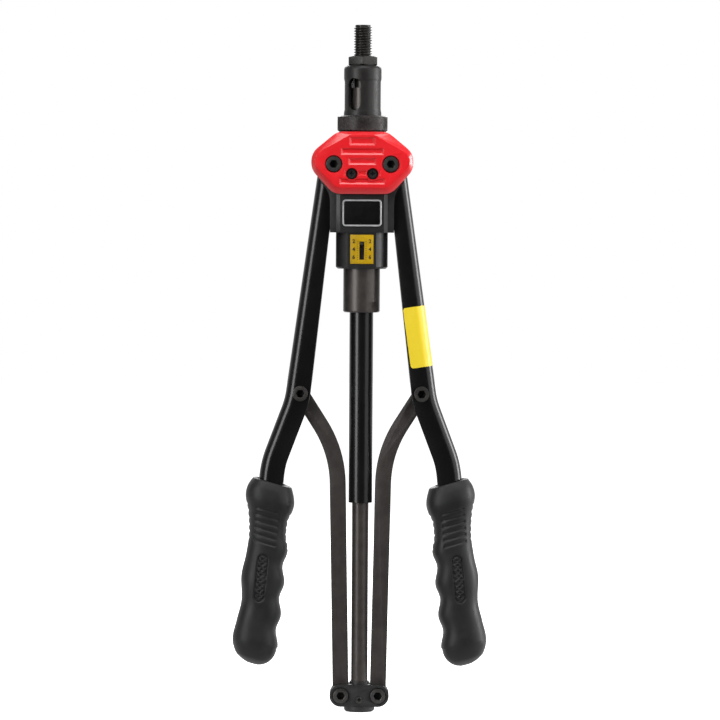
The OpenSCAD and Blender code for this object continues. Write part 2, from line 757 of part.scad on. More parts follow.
// Moulded grip: palm and finger outlines lofted along the handle, with a pocket for the channel
function finger_wave(s) = finger_mean + finger_depth / 2 * cos(360 * (s - first_crest) / finger_pitch);
function finger_end(s) =
    let (t = (s - grip_to + finger_end_drop) / (finger_end_drop + 0.4))
        finger_mean * sqrt(max(0.05, 1 - pow(t, 2))) + 0.6;
function finger_offset(s) =
    s < finger_from ? curve(finger_line, s)
    : s < grip_to - finger_end_drop ? finger_wave(s)
    : min(finger_wave(s), finger_end(s));
function grip_ring(s) =
    let (out = curve(palm_line, s), in = -finger_offset(s), mid = (out + in) / 2, half = (out - in) / 2,
         deep = curve(depth_line, s))
        [for (k = [0 : grip_sides - 1])
            let (a = 360 * k / grip_sides, x = mid + half * signed_power(cos(a), grip_roundness),
                 p = second_bend + along(grip_lean) * (s - x * tan(grip_tilt)) + across(grip_lean) * x)
                [p[0], p[1], deep * signed_power(sin(a), grip_roundness)]];
grip_steps = concat(
    [for (s = [grip_from : 2.5 : grip_to - 13]) s],
    [for (d = [11, 9, 7, 5, 3.2, 1.6, 0.6, 0]) grip_to - d]
);

// Relief of the grip, front and back: slanted grooves at its neck, and a sunk oblong where the palm rests
neck_from = 30.6;
neck_pitch = 4.4;
neck_grooves = 6;
neck_groove_w = 1.8;
neck_groove_len = 17;
neck_sink = 1.1;
panel_mid = 76;
panel_len = 32;
panel_w = 7.2;
panel_sink = 0.7;
module grip_relief() {
    panel_floor = curve(depth_line, panel_mid - panel_len / 2) - panel_sink;
    end = (panel_len - panel_w) / 2;
    for (k = [0 : neck_grooves - 1]) {
        s = neck_from + k * neck_pitch;
        slab_y(-through, -curve(depth_line, s) + neck_sink)
            translate(second_bend + along(grip_lean) * s) rotate(grip_lean + grip_tilt)
            square([neck_groove_len, neck_groove_w], center = true);
    }
    slab_y(-through, -panel_floor) translate(second_bend + along(grip_lean) * panel_mid) rotate(grip_lean)
        hull() for (e = [-end, end]) translate([0, e]) circle(panel_w / 2, $fn = 24);
}
module grip(side) {
    w = channel_w + 2 * grip_slack;
    color(rubber) on_side(side) difference() {
        front_view() lofted([for (s = grip_steps) grip_ring(s)]);
        front_view() translate(second_bend) rotate([90, 0, grip_lean])
            linear_extrude(grip_run + grip_slack)
            rounded_bar(-w / 2, w / 2, channel_d + 2 * grip_slack, channel_r + grip_slack);
        front_and_back() grip_relief();
    }
}
module left_grip() { grip(-1); }
module right_grip() { grip(1); }

// Bolt, nut and spacers that carry a link inside the channel
module link_bolt(side) {
    flange = channel_d / 2;
    color(dark_steel) on_side(side) difference() {
        union() {
            bar_y(link_bolt_at, m6_head_r, -flange - m6_head_h, -flange);
            bar_y(link_bolt_at, link_bolt_r, -flange, flange);
            bar_y(link_bolt_at, m6_r * 0.8, flange, flange + m6_nut_h + 1);
        }
        hex_y(link_bolt_at, m6_key, -flange - m6_head_h - 1, -flange - m6_head_h + m6_key_depth);
    }
}
module left_link_bolt() { link_bolt(-1); }
module right_link_bolt() { link_bolt(1); }
module link_nut(side) {
    flange = channel_d / 2;
    color(dark_steel) on_side(side) difference() {
        hex_y(link_bolt_at, m6_nut_af, flange, flange + m6_nut_h);
        bar_y(link_bolt_at, m6_r * 0.8 + seat_gap, 0, through);
    }
}
module left_link_nut() { link_nut(-1); }
module right_link_nut() { link_nut(1); }
module link_spacers(side) {
    color(plain_steel) on_side(side) front_and_back() difference() {
        bar_y(link_bolt_at, link_bolt_r + 1.8, seat_gap + sheet_t - channel_d / 2, -link_t / 2 - 0.1);
        bar_y(link_bolt_at, link_bolt_r + seat_gap, -through, through);
    }
}
module left_link_spacers() { link_spacers(-1); }
module right_link_spacers() { link_spacers(1); }

// Link bar with an eye at each end, and the bush in its lower eye
module link_arm(side) {
    color(grey_steel) on_side(side) difference() {
        union() {
            slab_y(-link_t / 2, link_t / 2)
                ribbon(stations([link_bolt_at, link_bend, crosshead_bolt], link_bend_r, 10), link_w);
            for (eye = [link_bolt_at, crosshead_bolt]) bar_y(eye, eye_r, -link_t / 2, link_t / 2);
        }
        bar_y(link_bolt_at, link_bolt_r + run_gap, -link_t, link_t);
        bar_y(crosshead_bolt, link_bush_r + seat_gap, -link_t, link_t);
    }
}
module left_link_arm() { link_arm(-1); }
module right_link_arm() { link_arm(1); }
module link_bush(side) {
    color(bronze) on_side(side) difference() {
        bar_y(crosshead_bolt, link_bush_r, -link_t / 2, link_t / 2);
        bar_y(crosshead_bolt, m6_r + run_gap, -link_t, link_t);
    }
}
module left_link_bush() { link_bush(-1); }
module right_link_bush() { link_bush(1); }

// Crosshead: a clevis with rounded ends round a hub that holds the rod
module crosshead_block() {
    at = crosshead_bolt;
    half = crosshead_d / 2;
    slot_x = hub_half;
    color(black_paint) difference() {
        union() {
            both_sides() bar_y(at, crosshead_r, -half, half);
            translate([-at[0], -half, at[1] - crosshead_r]) cube([2 * at[0], crosshead_d, 2 * crosshead_r]);
            bar_z(hub_half, at[1] - crosshead_r, at[1] + hub_rise);
            translate([0, 0, at[1]]) rotate_extrude() polygon([
                [0, 0], [hub_half, 0], [hub_half, -crosshead_r], [hub_r, -crosshead_r],
                [hub_r, hub_chamfer - hub_fall], [hub_r - hub_chamfer, -hub_fall], [0, -hub_fall]
            ]);
        }
        both_sides() {
            translate([slot_x, -link_slot, at[1] - through / 2]) cube([through, 2 * link_slot, through]);
            bar_y(at, m6_r + seat_gap, -through, through);
            bar_y(at, m6_head_r + face_gap, -half - 1, head_sink - half);
        }
        bar_z(rod_r + seat_gap, z_rod_end - seat_gap, 0);
        bar_y([0, z_set_screw], set_screw_r + seat_gap, -through, 0);
    }
}
module crosshead_bolts() {
    half = crosshead_d / 2;
    top = half - head_sink + m6_head_h;
    color(dark_steel) both_sides() {
        difference() {
            union() {
                bar_y(crosshead_bolt, m6_head_r, -top, head_sink - half);
                bar_y(crosshead_bolt, m6_r, head_sink - half, -link_slot);
            }
            hex_y(crosshead_bolt, m6_key, -top - 1, m6_key_depth - top);
        }
        bar_y(crosshead_bolt, m6_r, link_slot, half + m6_nut_h + 1);
    }
}
module crosshead_nuts() {
    half = crosshead_d / 2;
    color(dark_steel) both_sides() difference() {
        hex_y(crosshead_bolt, m6_nut_af, half, half + m6_nut_h);
        bar_y(crosshead_bolt, m6_r + seat_gap, 0, through);
    }
}
module rod_set_screw() {
    at = [0, z_set_screw];
    face = crosshead_d / 2 - face_gap;
    color(plain_steel) difference() {
        bar_y(at, set_screw_r, -face, -rod_r - seat_gap);
        cross_recess(at, -face, 3);
    }
}

// Rod with a deep bore for the spiral bar, and the spiral nut on its top
module rod() {
    z_top = z_nut - nut_h;
    bore_end = z_nut - spiral_len - 8;
    color(grey_steel) difference() {
        bar_z(rod_r, z_top, z_rod_end);
        bar_z(spiral_d / 2 + 0.6, z_top + 1, bore_end);
        bar_z(nut_spigot_r + seat_gap, z_top + 1, z_top - nut_spigot);
    }
}
nut_spigot_r = rod_r - 1;
module spiral_nut() {
    color(bronze) difference() {
        union() {
            bar_z(nut_r, z_nut, z_nut - nut_h);
            bar_z(nut_spigot_r, z_nut - nut_h, z_nut - nut_h - nut_spigot + seat_gap);
        }
        bar_z(spiral_d / 2 + spiral_room, z_nut + 1, z_nut - nut_h - nut_spigot - 1);
    }
}

// Drawbar with its cam groove, bearing pocket and skirt
pocket_r = spindle_flange_r + 0.4;
module drawbar() {
    z_pocket = z_thrust - spindle_flange_t - 0.4;
    color(plain_steel) difference() {
        bar_z(drawbar_r, z_drawbar, z_drawbar_end);
        bar_z(pocket_r, z_drawbar + 1, z_pocket);
        bar_z(spindle_shaft_r + run_gap, z_drawbar, z_drawbar_end);
        bar_z(skirt_r, z_skirt, z_drawbar_end - 1);
        difference() {
            bar_z(drawbar_d, z_pivot + groove_rise, z_press);
            bar_z(groove_r, z_pivot + through, z_press - through);
        }
    }
}
module drawbar_cap() {
    color(dark_steel) difference() {
        bar_z(drawbar_r, z_cap, z_drawbar);
        bar_z(spindle_neck_r + run_gap, z_cap + 1, z_drawbar - 1);
    }
}
module thrust_ring() {
    color(bronze) difference() {
        bar_z(pocket_r - seat_gap, z_drawbar, z_thrust);
        bar_z(spindle_neck_r + run_gap, z_drawbar + 1, z_thrust - 1);
    }
}

// Drive: spindle with a six-sided socket, coupling and spiral bar
cup_r = 7.5;
cup_len = 17.1;
module drive_spindle() {
    z_cup = -mandrel_in - cup_len;
    color(grey_steel) difference() {
        union() {
            bar_z(cup_r, -mandrel_in, z_cup);
            bar_z(spindle_neck_r, z_cup, z_thrust);
            bar_z(spindle_flange_r, z_thrust - run_gap, z_thrust - spindle_flange_t);
            bar_z(spindle_shaft_r, z_thrust, z_spindle_end);
        }
        translate([0, 0, -mandrel_in - tail_len - 0.2])
            cylinder(r = tail_af / sqrt(3) + 2 * seat_gap, h = tail_len + 1, $fn = 6);
    }
}
module bar_coupling() {
    z0 = z_spindle_end + coupling_len / 2;
    color(dark_steel) difference() {
        bar_z(coupling_r, z0, z0 - coupling_len);
        bar_z(spindle_shaft_r + seat_gap, z0 + 1, z_spindle_end);
        bar_z(spiral_d / 2 + seat_gap, z0, z0 - coupling_len - 1);
    }
}
module spiral_bar() {
    side = spiral_d / sqrt(2);
    color(plain_steel) translate([0, 0, z_spiral_end]) linear_extrude(
        height = spiral_len - seat_gap, twist = 360 * spiral_len / spiral_lead, slices = 96, $fn = 4
    ) square(side, center = true);
}

// Stroke adjuster: the stop with its pointer, the sleeve that turns, and the tube and bush it carries
module stroke_indicator() {
    pointer = [slot_w - 2 * run_gap, stage_flat - 1, 2];
    color(grey_steel) difference() {
        union() {
            bar_z(sleeve_r - 0.02, z_stop, z_stop - stop_h);
            translate([-pointer[0] / 2, -stage_flat + 0.2, z_slot + slot_len / 2 - pointer[2] - face_gap])
                cube(pointer);
        }
        bar_z(tube_r + 0.5, z_stop + 1, z_stop - stop_h - 1);
    }
}
flat_h = 7;
flat_depth = 0.95;
flat_turn = 40;
sleeve_chamfer = 0.8;
module stroke_sleeve() {
    color(grey_steel) difference() {
        union() {
            bar_z(sleeve_r, z_sleeve, z_sleeve_end + sleeve_chamfer);
            translate([0, 0, z_sleeve_end])
                cylinder(r1 = sleeve_r - sleeve_chamfer, r2 = sleeve_r, h = sleeve_chamfer);
        }
        bar_z(tube_r + seat_gap, z_sleeve + 1, z_sleeve_end - 1);
        for (a = [flat_turn, flat_turn + 180])
            rotate(a) translate([-sleeve_r, flat_depth - sleeve_d, z_sleeve_end - 1])
                cube([sleeve_d, sleeve_r, flat_h + 1]);
    }
}
module guide_tube() {
    color(black_enamel) difference() {
        bar_z(tube_r, z_sleeve, z_tube_end);
        bar_z(tube_bore_r, z_sleeve + 1, z_tube_end - 1);
    }
}
module tube_bush() {
    color(bronze) difference() {
        bar_z(tube_bore_r - seat_gap, z_tube_end + bush_h, z_tube_end);
        bar_z(rod_r + run_gap, z_tube_end + bush_h + 1, z_tube_end - 1);
    }
}

head_casting();
front_cover();
rear_cover();
nose_sleeve();
anvil_nut();
pivot_pins();
pivot_screws();
cover_screws();
name_plate();
scale_plate();
lock_collar();
left_handle_channel();
left_grip();
left_cam();
left_link_bolt();
left_link_nut();
left_link_spacers();
right_handle_channel();
right_grip();
right_cam();
right_link_bolt();
right_link_nut();
right_link_spacers();
left_link_arm();
left_link_bush();
right_link_arm();
right_link_bush();
crosshead_block();
rod();
spiral_nut();
crosshead_bolts();
crosshead_nuts();
rod_set_screw();
drawbar();
drawbar_cap();
thrust_ring();
mandrel();
drive_spindle();
bar_coupling();
spiral_bar();
stroke_indicator();
stroke_sleeve();
guide_tube();
tube_bush();
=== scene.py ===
# %% [markdown]
# A hand rivet nut tool in Blender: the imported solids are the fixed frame, and each cell dresses one piece.
# The frame is in metres: +Z out along the mandrel, +X to the right, and the front towards -Y. Sizes here are
# written in millimetres, and are multiplied by mm where a mesh is made.

# %% Load the frame
import json
import math

import bmesh
import bpy
import numpy as np
from mathutils import Matrix, Vector


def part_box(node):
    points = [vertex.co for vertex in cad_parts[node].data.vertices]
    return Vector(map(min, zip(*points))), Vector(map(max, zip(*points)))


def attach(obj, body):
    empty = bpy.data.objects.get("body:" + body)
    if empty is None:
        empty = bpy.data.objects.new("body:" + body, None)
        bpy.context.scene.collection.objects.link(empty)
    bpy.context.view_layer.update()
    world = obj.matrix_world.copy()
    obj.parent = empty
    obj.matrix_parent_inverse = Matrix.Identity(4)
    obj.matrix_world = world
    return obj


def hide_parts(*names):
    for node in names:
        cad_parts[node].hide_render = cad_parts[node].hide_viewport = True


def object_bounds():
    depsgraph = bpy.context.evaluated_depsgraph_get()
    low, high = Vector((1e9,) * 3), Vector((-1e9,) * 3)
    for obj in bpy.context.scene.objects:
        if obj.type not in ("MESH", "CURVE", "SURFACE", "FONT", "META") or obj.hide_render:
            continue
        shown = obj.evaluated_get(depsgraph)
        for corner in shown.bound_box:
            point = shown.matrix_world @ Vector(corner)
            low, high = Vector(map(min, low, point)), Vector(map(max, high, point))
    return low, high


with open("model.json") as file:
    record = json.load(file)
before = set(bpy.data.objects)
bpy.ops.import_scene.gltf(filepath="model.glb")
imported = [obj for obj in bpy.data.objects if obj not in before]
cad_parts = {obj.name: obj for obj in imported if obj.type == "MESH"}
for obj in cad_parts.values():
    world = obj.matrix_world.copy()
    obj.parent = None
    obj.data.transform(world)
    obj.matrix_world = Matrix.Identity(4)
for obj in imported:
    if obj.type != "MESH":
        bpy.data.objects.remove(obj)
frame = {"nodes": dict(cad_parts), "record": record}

cad_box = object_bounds()
mm = 0.001
scene = bpy.context.scene
body_of = {name: body for body, names in frame["record"]["behaviour"]["bodies"].items() for name in names}
slot_of = {item["node"]: item["material_slot"] for item in frame["record"]["subparts"]}


def box_mm(node):
    """The lowest and highest corners of a solid, in millimetres."""
    return tuple(np.array(corner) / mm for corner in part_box(node))


# %% [markdown]
# Shaders and Geometry Nodes share their arithmetic: a socket is linked or set, a step of arithmetic joins
# values, and a ramp turns one range into another. These few helpers serve every tree in this file.

# %% Helpers for node trees
def feed(tree, socket, source):
    """Links a socket, or sets its value."""
    if isinstance(source, bpy.types.NodeSocket):
        tree.links.new(source, socket)
    else:
        socket.default_value = source


def add_node(tree, kind, inputs=(), **settings):
    """A new node with its settings, and with its inputs, by name or number, linked or set."""
    node = tree.nodes.new(kind)
    for key, value in settings.items():
        setattr(node, key, value)
    for label, source in dict(inputs).items():
        feed(tree, node.inputs[label], source)
    return node


def calc(tree, operation, *sources):
    """One step of arithmetic on values."""
    return add_node(tree, "ShaderNodeMath", enumerate(sources), operation=operation).outputs[0]


def times(tree, first, *others):
    """The product of several values."""
    for other in others:
        first = calc(tree, "MULTIPLY", first, other)
    return first


def vector_calc(tree, operation, *sources):
    """One step of arithmetic on vectors."""
    step = add_node(tree, "ShaderNodeVectorMath", operation=operation)
    for socket, source in zip([s for s in step.inputs if s.enabled], sources):
        feed(tree, socket, source)
    return next(s for s in step.outputs if s.enabled)


def ramp(tree, value, low, high, bottom=0.0, top=1.0, smooth=False):
    """A value that goes from bottom to top while another goes from low to high."""
    labels = ("Value", "From Min", "From Max", "To Min", "To Max")
    inputs = zip(labels, (value, low, high, bottom, top))
    shape = "SMOOTHSTEP" if smooth else "LINEAR"
    return add_node(tree, "ShaderNodeMapRange", inputs, interpolation_type=shape).outputs["Result"]


def ridge(tree, turns):
    """A zigzag of the given count of turns: 1 at whole numbers, 0 half way between."""
    part = calc(tree, "FRACT", turns)
    return times(tree, calc(tree, "ABSOLUTE", calc(tree, "SUBTRACT", part, 0.5)), 2.0)


def axes_of(tree, vector):
    """The X, Y and Z of a vector."""
    return add_node(tree, "ShaderNodeSeparateXYZ", {0: vector}).outputs


def coordinates(tree, kind="Object"):
    """The texture coordinates of a shader tree."""
    return add_node(tree, "ShaderNodeTexCoord").outputs[kind]


def grey(value):
    """A grey colour."""
    return (value, value, value)


print("helpers for node trees")

# %% [markdown]
# The stage is a white table top in a soft studio. A floor that is lit alone would go grey, and a pure emitter
# would lose the shadow, so the floor mixes both: it stays near white and still darkens under the tool. Shiny
# surfaces see the white backdrop too, but only on the side behind the tool and at half strength. At full
# strength, or all round, the reflection would turn black enamel grey.

# %% Floor
floor_gap = 0.2
floor_z = cad_box[0][2] - floor_gap * mm
floor_half = 6.0
floor_corners = ((-1, -1), (1, -1), (1, 1), (-1, 1))
floor_mesh = bpy.data.meshes.new("floor")
floor_points = [(x * floor_half, y * floor_half, floor_z) for x, y in floor_corners]
floor_mesh.from_pydata(floor_points, [], [(0, 1, 2, 3)])
floor = bpy.data.objects.new("floor", floor_mesh)
scene.collection.objects.link(floor)

backdrop_shine = 0.5
floor_shine_from, floor_shine_full = -0.25, 0.1
floor_white, floor_dull = 0.85, 0.12


def behind_tool(tree, kind, start, full):
    """0 up to the start and the backdrop's shine from full on, along Y: the side that the camera sees."""
    depth = axes_of(tree, coordinates(tree, kind))["Y"]
    return ramp(tree, depth, start, full, top=backdrop_shine, smooth=True)


def seen_by_eye(tree, backdrop):
    """1 for camera and transmission rays, and the backdrop's share for glossy rays."""
    rays = tree.nodes.new("ShaderNodeLightPath").outputs
    seen = times(tree, rays["Is Glossy Ray"], backdrop)
    for ray in ("Is Camera Ray", "Is Transmission Ray"):
        seen = calc(tree, "MAXIMUM", seen, rays[ray])
    return seen


def shader_mix(tree, mask, first, second):
    """Mixes two shaders by a mask."""
    return add_node(tree, "ShaderNodeMixShader", enumerate((mask, first, second))).outputs["Shader"]


def matt(tree, value):
    """A matt grey shader."""
    return add_node(tree, "ShaderNodeBsdfDiffuse", {"Color": (*grey(value), 1)}).outputs["BSDF"]


floor_paint = bpy.data.materials.new("floor_white")
floor_paint.use_nodes = True
tree = floor_paint.node_tree
tree.nodes.clear()
glow = add_node(tree, "ShaderNodeEmission").outputs["Emission"]
lit = add_node(tree, "ShaderNodeAddShader", {0: matt(tree, floor_white), 1: glow}).outputs["Shader"]
eye = seen_by_eye(tree, behind_tool(tree, "Object", floor_shine_from, floor_shine_full))
floor_look = shader_mix(tree, eye, matt(tree, floor_dull), lit)
add_node(tree, "ShaderNodeOutputMaterial", {"Surface": floor_look})
floor_mesh.materials.append(floor_paint)
print("floor at", round(floor_z / mm, 1), "mm")

# %% [markdown]
# Tall soft boxes light the tool. The one at the left and the one far to the right draw the bright line along
# each rounded handle, a weak one fills in at the right, a wide one overhead lights the top bevel of the red
# covers, and one stands behind. The strip at the front right lights matt surfaces only, because its image
# would be one line too many on the right handle. The world is white to the camera, and behind the tool half
# white to shiny surfaces. To all else it is dim, and dimmest in front, so that black enamel stays black.

# %% World and lamps
scene.view_settings.view_transform = "Standard"
world = bpy.data.worlds.new("studio")
scene.world = world
world.use_nodes = True
tree = world.node_tree
tree.nodes.clear()
front_dim, back_dim, dim_span = 0.07, 0.34, 0.7
world_shine_from, world_shine_full = 0.15, 0.6
depth = axes_of(tree, coordinates(tree, "Generated"))["Y"]
dimness = ramp(tree, depth, -dim_span, dim_span, front_dim, back_dim)
dim, white = (
    add_node(tree, "ShaderNodeBackground", {"Color": (1, 1, 1, 1), "Strength": strength}).outputs[0]
    for strength in (dimness, 1.0)
)
eye = seen_by_eye(tree, behind_tool(tree, "Generated", world_shine_from, world_shine_full))
add_node(tree, "ShaderNodeOutputWorld", {"Surface": shader_mix(tree, eye, dim, white)})

middle = Vector((-0.75 * mm, 0, -201.8 * mm))


def soft_box(name, azimuth, elevation, distance, size, power, in_shine=True):
    """A rectangular lamp that faces the middle of the tool. Shiny surfaces mirror it if it is in_shine."""
    lamp = bpy.data.lights.new(name, "AREA")
    lamp.shape = "RECTANGLE"
    lamp.size, lamp.size_y = size
    lamp.energy = power
    box = bpy.data.objects.new(name, lamp)
    turn, rise = math.radians(azimuth), math.radians(elevation)
    towards = Vector((math.sin(turn) * math.cos(rise), -math.cos(turn) * math.cos(rise), math.sin(rise)))
    box.location = middle + towards * distance
    box.rotation_euler = towards.to_track_quat("Z", "Y").to_euler()
    box.visible_camera = False
    box.visible_glossy = in_shine
    scene.collection.objects.link(box)


soft_box("left_strip", -44, 8, 1.6, (0.62, 1.5), 18)
soft_box("right_strip", 47, 8, 1.6, (0.7, 1.5), 16, in_shine=False)
soft_box("right_soft", 58, 8, 1.6, (1.0, 1.5), 6)
soft_box("right_side", 95, 5, 1.7, (0.7, 1.5), 32)
soft_box("overhead", 0, 62, 1.6, (1.6, 0.8), 17)
soft_box("behind", 180, 30, 1.7, (1.4, 1.0), 22)
print("lamps", [lamp.name for lamp in bpy.data.lights])

# %% [markdown]
# The camera looks from straight in front, a little above the middle, with a long lens. The picture is 720
# pixels square, and two thirds of a millimetre fills a pixel at the tool.

# %% Camera
picture_px = 720
mm_per_px = 0.6655
camera_distance = 3.0
camera_rise = math.radians(1.8)
camera_roll = math.radians(0.345)
lens = bpy.data.cameras.new("camera")
lens.sensor_width = 36
lens.lens = lens.sensor_width * camera_distance / (picture_px * mm_per_px * mm)
camera = bpy.data.objects.new("camera", lens)
back = Vector((0, -math.cos(camera_rise), math.sin(camera_rise)))
camera.location = middle + back * camera_distance
aim = back.to_track_quat("Z", "Y").to_matrix() @ Matrix.Rotation(camera_roll, 3, "Z")
camera.rotation_euler = aim.to_euler()
scene.collection.objects.link(camera)
scene.camera = camera
print("lens", round(lens.lens, 1), "mm")

# %% [markdown]
# Four effects turn up in the finishes here: blotches, fine grain, the streaks of turning or drawing, and the
# crossed marks of a knurl, whose grooves are painted darker as painted shade. Each is a shader group that is
# built once, and each material gives it its own size and colours.

# %% Shader groups
def shader_group(name, inputs, outputs):
    """An empty shader group with named sockets, and the sockets at its two ends."""
    group = bpy.data.node_groups.new(name, "ShaderNodeTree")
    for label, kind, value in inputs:
        socket = group.interface.new_socket(label, in_out="INPUT", socket_type="NodeSocket" + kind)
        socket.default_value = value
    for label, kind in outputs:
        group.interface.new_socket(label, in_out="OUTPUT", socket_type="NodeSocket" + kind)
    return group, group.nodes.new("NodeGroupInput").outputs, group.nodes.new("NodeGroupOutput").inputs


def noise(tree, place, scale, detail, roughness):
    """A noise texture on the given coordinates."""
    inputs = {"Vector": place, "Scale": scale, "Detail": detail, "Roughness": roughness}
    return add_node(tree, "ShaderNodeTexNoise", inputs).outputs["Fac"]


def between(tree, mask, first, second, kind="RGBA"):
    """Mixes two colours or two values by a mask."""
    blend = add_node(tree, "ShaderNodeMix", {0: mask}, data_type=kind)
    wanted = "RGBA" if kind == "RGBA" else "VALUE"
    pair = [s for s in blend.inputs if s.enabled and s.type == wanted][-2:]
    for socket, source in zip(pair, (first, second)):
        feed(tree, socket, source)
    return next(s for s in blend.outputs if s.enabled)


def make_blotches():
    """Large soft blotches with fine specks: a colour and a roughness between two."""
    group, start, end = shader_group(
        "blotches",
        [
            ("Dark", "Color", (*grey(0.1), 1)), ("Light", "Color", (*grey(0.2), 1)),
            ("Scale", "Float", 60.0), ("Smooth", "Float", 0.4), ("Rough", "Float", 0.6),
        ],
        [("Color", "Color"), ("Roughness", "Float")],
    )
    speckle = noise(group, coordinates(group), start["Scale"], detail=5.0, roughness=0.62)
    wide = ramp(group, speckle, low=0.34, high=0.68, smooth=True)
    group.links.new(between(group, wide, start["Dark"], start["Light"]), end["Color"])
    group.links.new(between(group, wide, start["Smooth"], start["Rough"], "FLOAT"), end["Roughness"])
    return group


def make_grain():
    """Fine pebbles for a bump."""
    group, start, end = shader_group("fine_grain", [("Scale", "Float", 2500.0)], [("Height", "Float")])
    pebbles = noise(group, coordinates(group), start["Scale"], detail=3.0, roughness=0.55)
    group.links.new(pebbles, end["Height"])
    return group


def make_streaks():
    """Noise drawn out along the axis whose stretch is small, for turned and drawn steel."""
    group, start, end = shader_group(
        "streaks", [("Stretch", "Vector", (1, 1, 1)), ("Scale", "Float", 1000.0)], [("Height", "Float")]
    )
    drawn = vector_calc(group, "MULTIPLY", coordinates(group), start["Stretch"])
    group.links.new(noise(group, drawn, start["Scale"], detail=2.0, roughness=0.5), end["Height"])
    return group


def make_diamonds():
    """A mask for painted shade in the grooves of a diamond knurl round the Z axis: 1 on a crest, 0 in a
    groove.
    """
    group, start, end = shader_group(
        "knurl_groove_shade", [("Count", "Float", 72.0), ("Pitch", "Float", 1.0)], [("Crest", "Float")]
    )
    place = axes_of(group, coordinates(group))
    turn = calc(group, "DIVIDE", calc(group, "ARCTAN2", place["Y"], place["X"]), 2 * math.pi)
    round_it = times(group, turn, start["Count"])
    up = calc(group, "DIVIDE", place["Z"], times(group, start["Pitch"], mm))
    zigzags = [ridge(group, calc(group, way, round_it, up)) for way in ("ADD", "SUBTRACT")]
    crest = ramp(group, calc(group, "MINIMUM", *zigzags), low=0.1, high=0.75, smooth=True)
    group.links.new(crest, end["Crest"])
    return group


blotches = make_blotches()
fine_grain = make_grain()
streaks = make_streaks()
knurl_groove_shade = make_diamonds()
print("groups", [g.name for g in bpy.data.node_groups])

# %% [markdown]
# The finishes: red powder coat, satin black on the casting, gloss enamel on the handles, brown-grey phosphate
# on the drawn steel, blackened steel on the nose, rubber, and a few bare metals inside. One function builds
# them all, because they differ only in numbers: two colours, two roughnesses, a grain and a coat.

# %% Materials
finishes = {}


def placed(tree, group, **values):
    """A shader group in a material, with its own values, and its outputs."""
    return add_node(tree, "ShaderNodeGroup", values, node_tree=group).outputs


def finish(name, dark, light, rough, size, grain=None, lines=None, knurl=None, metal=0.0, coat=0.0, gloss=0.5,
           haze=0.04):
    """Adds a procedural finish. Haze is the roughness of the coat.

    A grain is (scale, depth in mm), lines are (stretch, scale, depth in mm), and a knurl is (count round,
    pitch in mm, colour of the painted shade in the grooves).
    """
    material = bpy.data.materials.new(name)
    material.use_nodes = True
    tree = material.node_tree
    shader = next(n for n in tree.nodes if n.type == "BSDF_PRINCIPLED").inputs
    paint = placed(
        tree, blotches, Dark=(*dark, 1), Light=(*light, 1), Scale=size, Smooth=rough[0], Rough=rough[1]
    )
    colour = paint["Color"]
    # A knurl's grooves are painted darker than its crests: painted shade in the grooves.
    if knurl:
        count, pitch, groove = knurl
        marks = placed(tree, knurl_groove_shade, Count=count, Pitch=pitch)
        colour = between(tree, marks["Crest"], (*groove, 1), colour)
    reliefs = []
    if grain:
        reliefs.append((placed(tree, fine_grain, Scale=grain[0]), grain[1]))
    if lines:
        reliefs.append((placed(tree, streaks, Stretch=lines[0], Scale=lines[1]), lines[2]))
    normal = None
    for relief, deep in reliefs:
        inputs = {"Strength": 1.0, "Distance": deep * mm, "Height": relief["Height"]}
        if normal:
            inputs["Normal"] = normal
        normal = add_node(tree, "ShaderNodeBump", inputs).outputs["Normal"]
    look = {
        "Base Color": colour, "Roughness": paint["Roughness"], "Normal": normal, "Metallic": metal,
        "Coat Weight": coat, "Coat Roughness": haze, "Specular IOR Level": gloss,
    }
    for label, source in look.items():
        feed(tree, shader[label], source)
    finishes[name] = material


collar_r = float(box_mm("lock_collar")[1][0])
knurl_count = 92
knurl_pitch = 2 * math.pi * collar_r / knurl_count
nose_r = float(box_mm("nose_sleeve")[1][0])
nose_count = round(2 * math.pi * nose_r / knurl_pitch)
# The last value of each knurl is the colour of the painted shade in its grooves.
collar_knurl = (knurl_count, knurl_pitch, (0.009, 0.008, 0.008))
nose_knurl = (nose_count, knurl_pitch, (0.013, 0.012, 0.012))
along_z = (1, 1, 0.02)
round_z = (0.03, 0.03, 1)

finish("red_paint", (0.665, 0.0084, 0.0140), (0.685, 0.0093, 0.0150), (0.30, 0.34), 90, (700, 0.004),
       coat=0.8, haze=0.15)
finish("casting_paint", grey(0.0095), grey(0.0129), (0.42, 0.50), 120, (1500, 0.016), coat=0.05)
finish("handle_enamel", grey(0.0025), grey(0.0035), (0.30, 0.36), 40, (260, 0.003), coat=0.6, gloss=0.15,
       haze=0.2)
finish("phosphated_steel", (0.0619, 0.0550, 0.0516), (0.0757, 0.0679, 0.0636), (0.34, 0.40), 180,
       (3000, 0.004), (along_z, 900, 0.006), metal=0.6)
finish("link_steel", (0.0378, 0.0327, 0.0310), (0.0464, 0.0404, 0.0378), (0.40, 0.48), 140, (2600, 0.008),
       (along_z, 700, 0.006), metal=0.3)
finish("blackened_steel", (0.021, 0.0200, 0.0190), (0.029, 0.0275, 0.0260), (0.40, 0.48), 200, (2200, 0.016),
       (round_z, 1500, 0.004), metal=0.3, gloss=0.4)
finish("thread_black", (0.014, 0.013, 0.012), (0.026, 0.024, 0.022), (0.28, 0.36), 240, (2200, 0.006),
       metal=0.4)
finish("knurled_steel", (0.0533, 0.0482, 0.0447), (0.0740, 0.0671, 0.0628), (0.34, 0.42), 200, (2200, 0.006),
       knurl=collar_knurl, metal=0.3)
finish("nose_steel", (0.0217, 0.0206, 0.0195), (0.0289, 0.0275, 0.0260), (0.40, 0.48), 200, (2200, 0.010),
       knurl=nose_knurl, metal=0.3, gloss=0.4)
finish("machined_steel", (0.38, 0.38, 0.39), (0.55, 0.55, 0.57), (0.22, 0.34), 220,
       lines=(round_z, 1800, 0.004), metal=1.0)
finish("rubber", (0.0112, 0.0112, 0.0120), (0.0146, 0.0146, 0.0155), (0.42, 0.52), 70, (1900, 0.012),
       gloss=0.32)
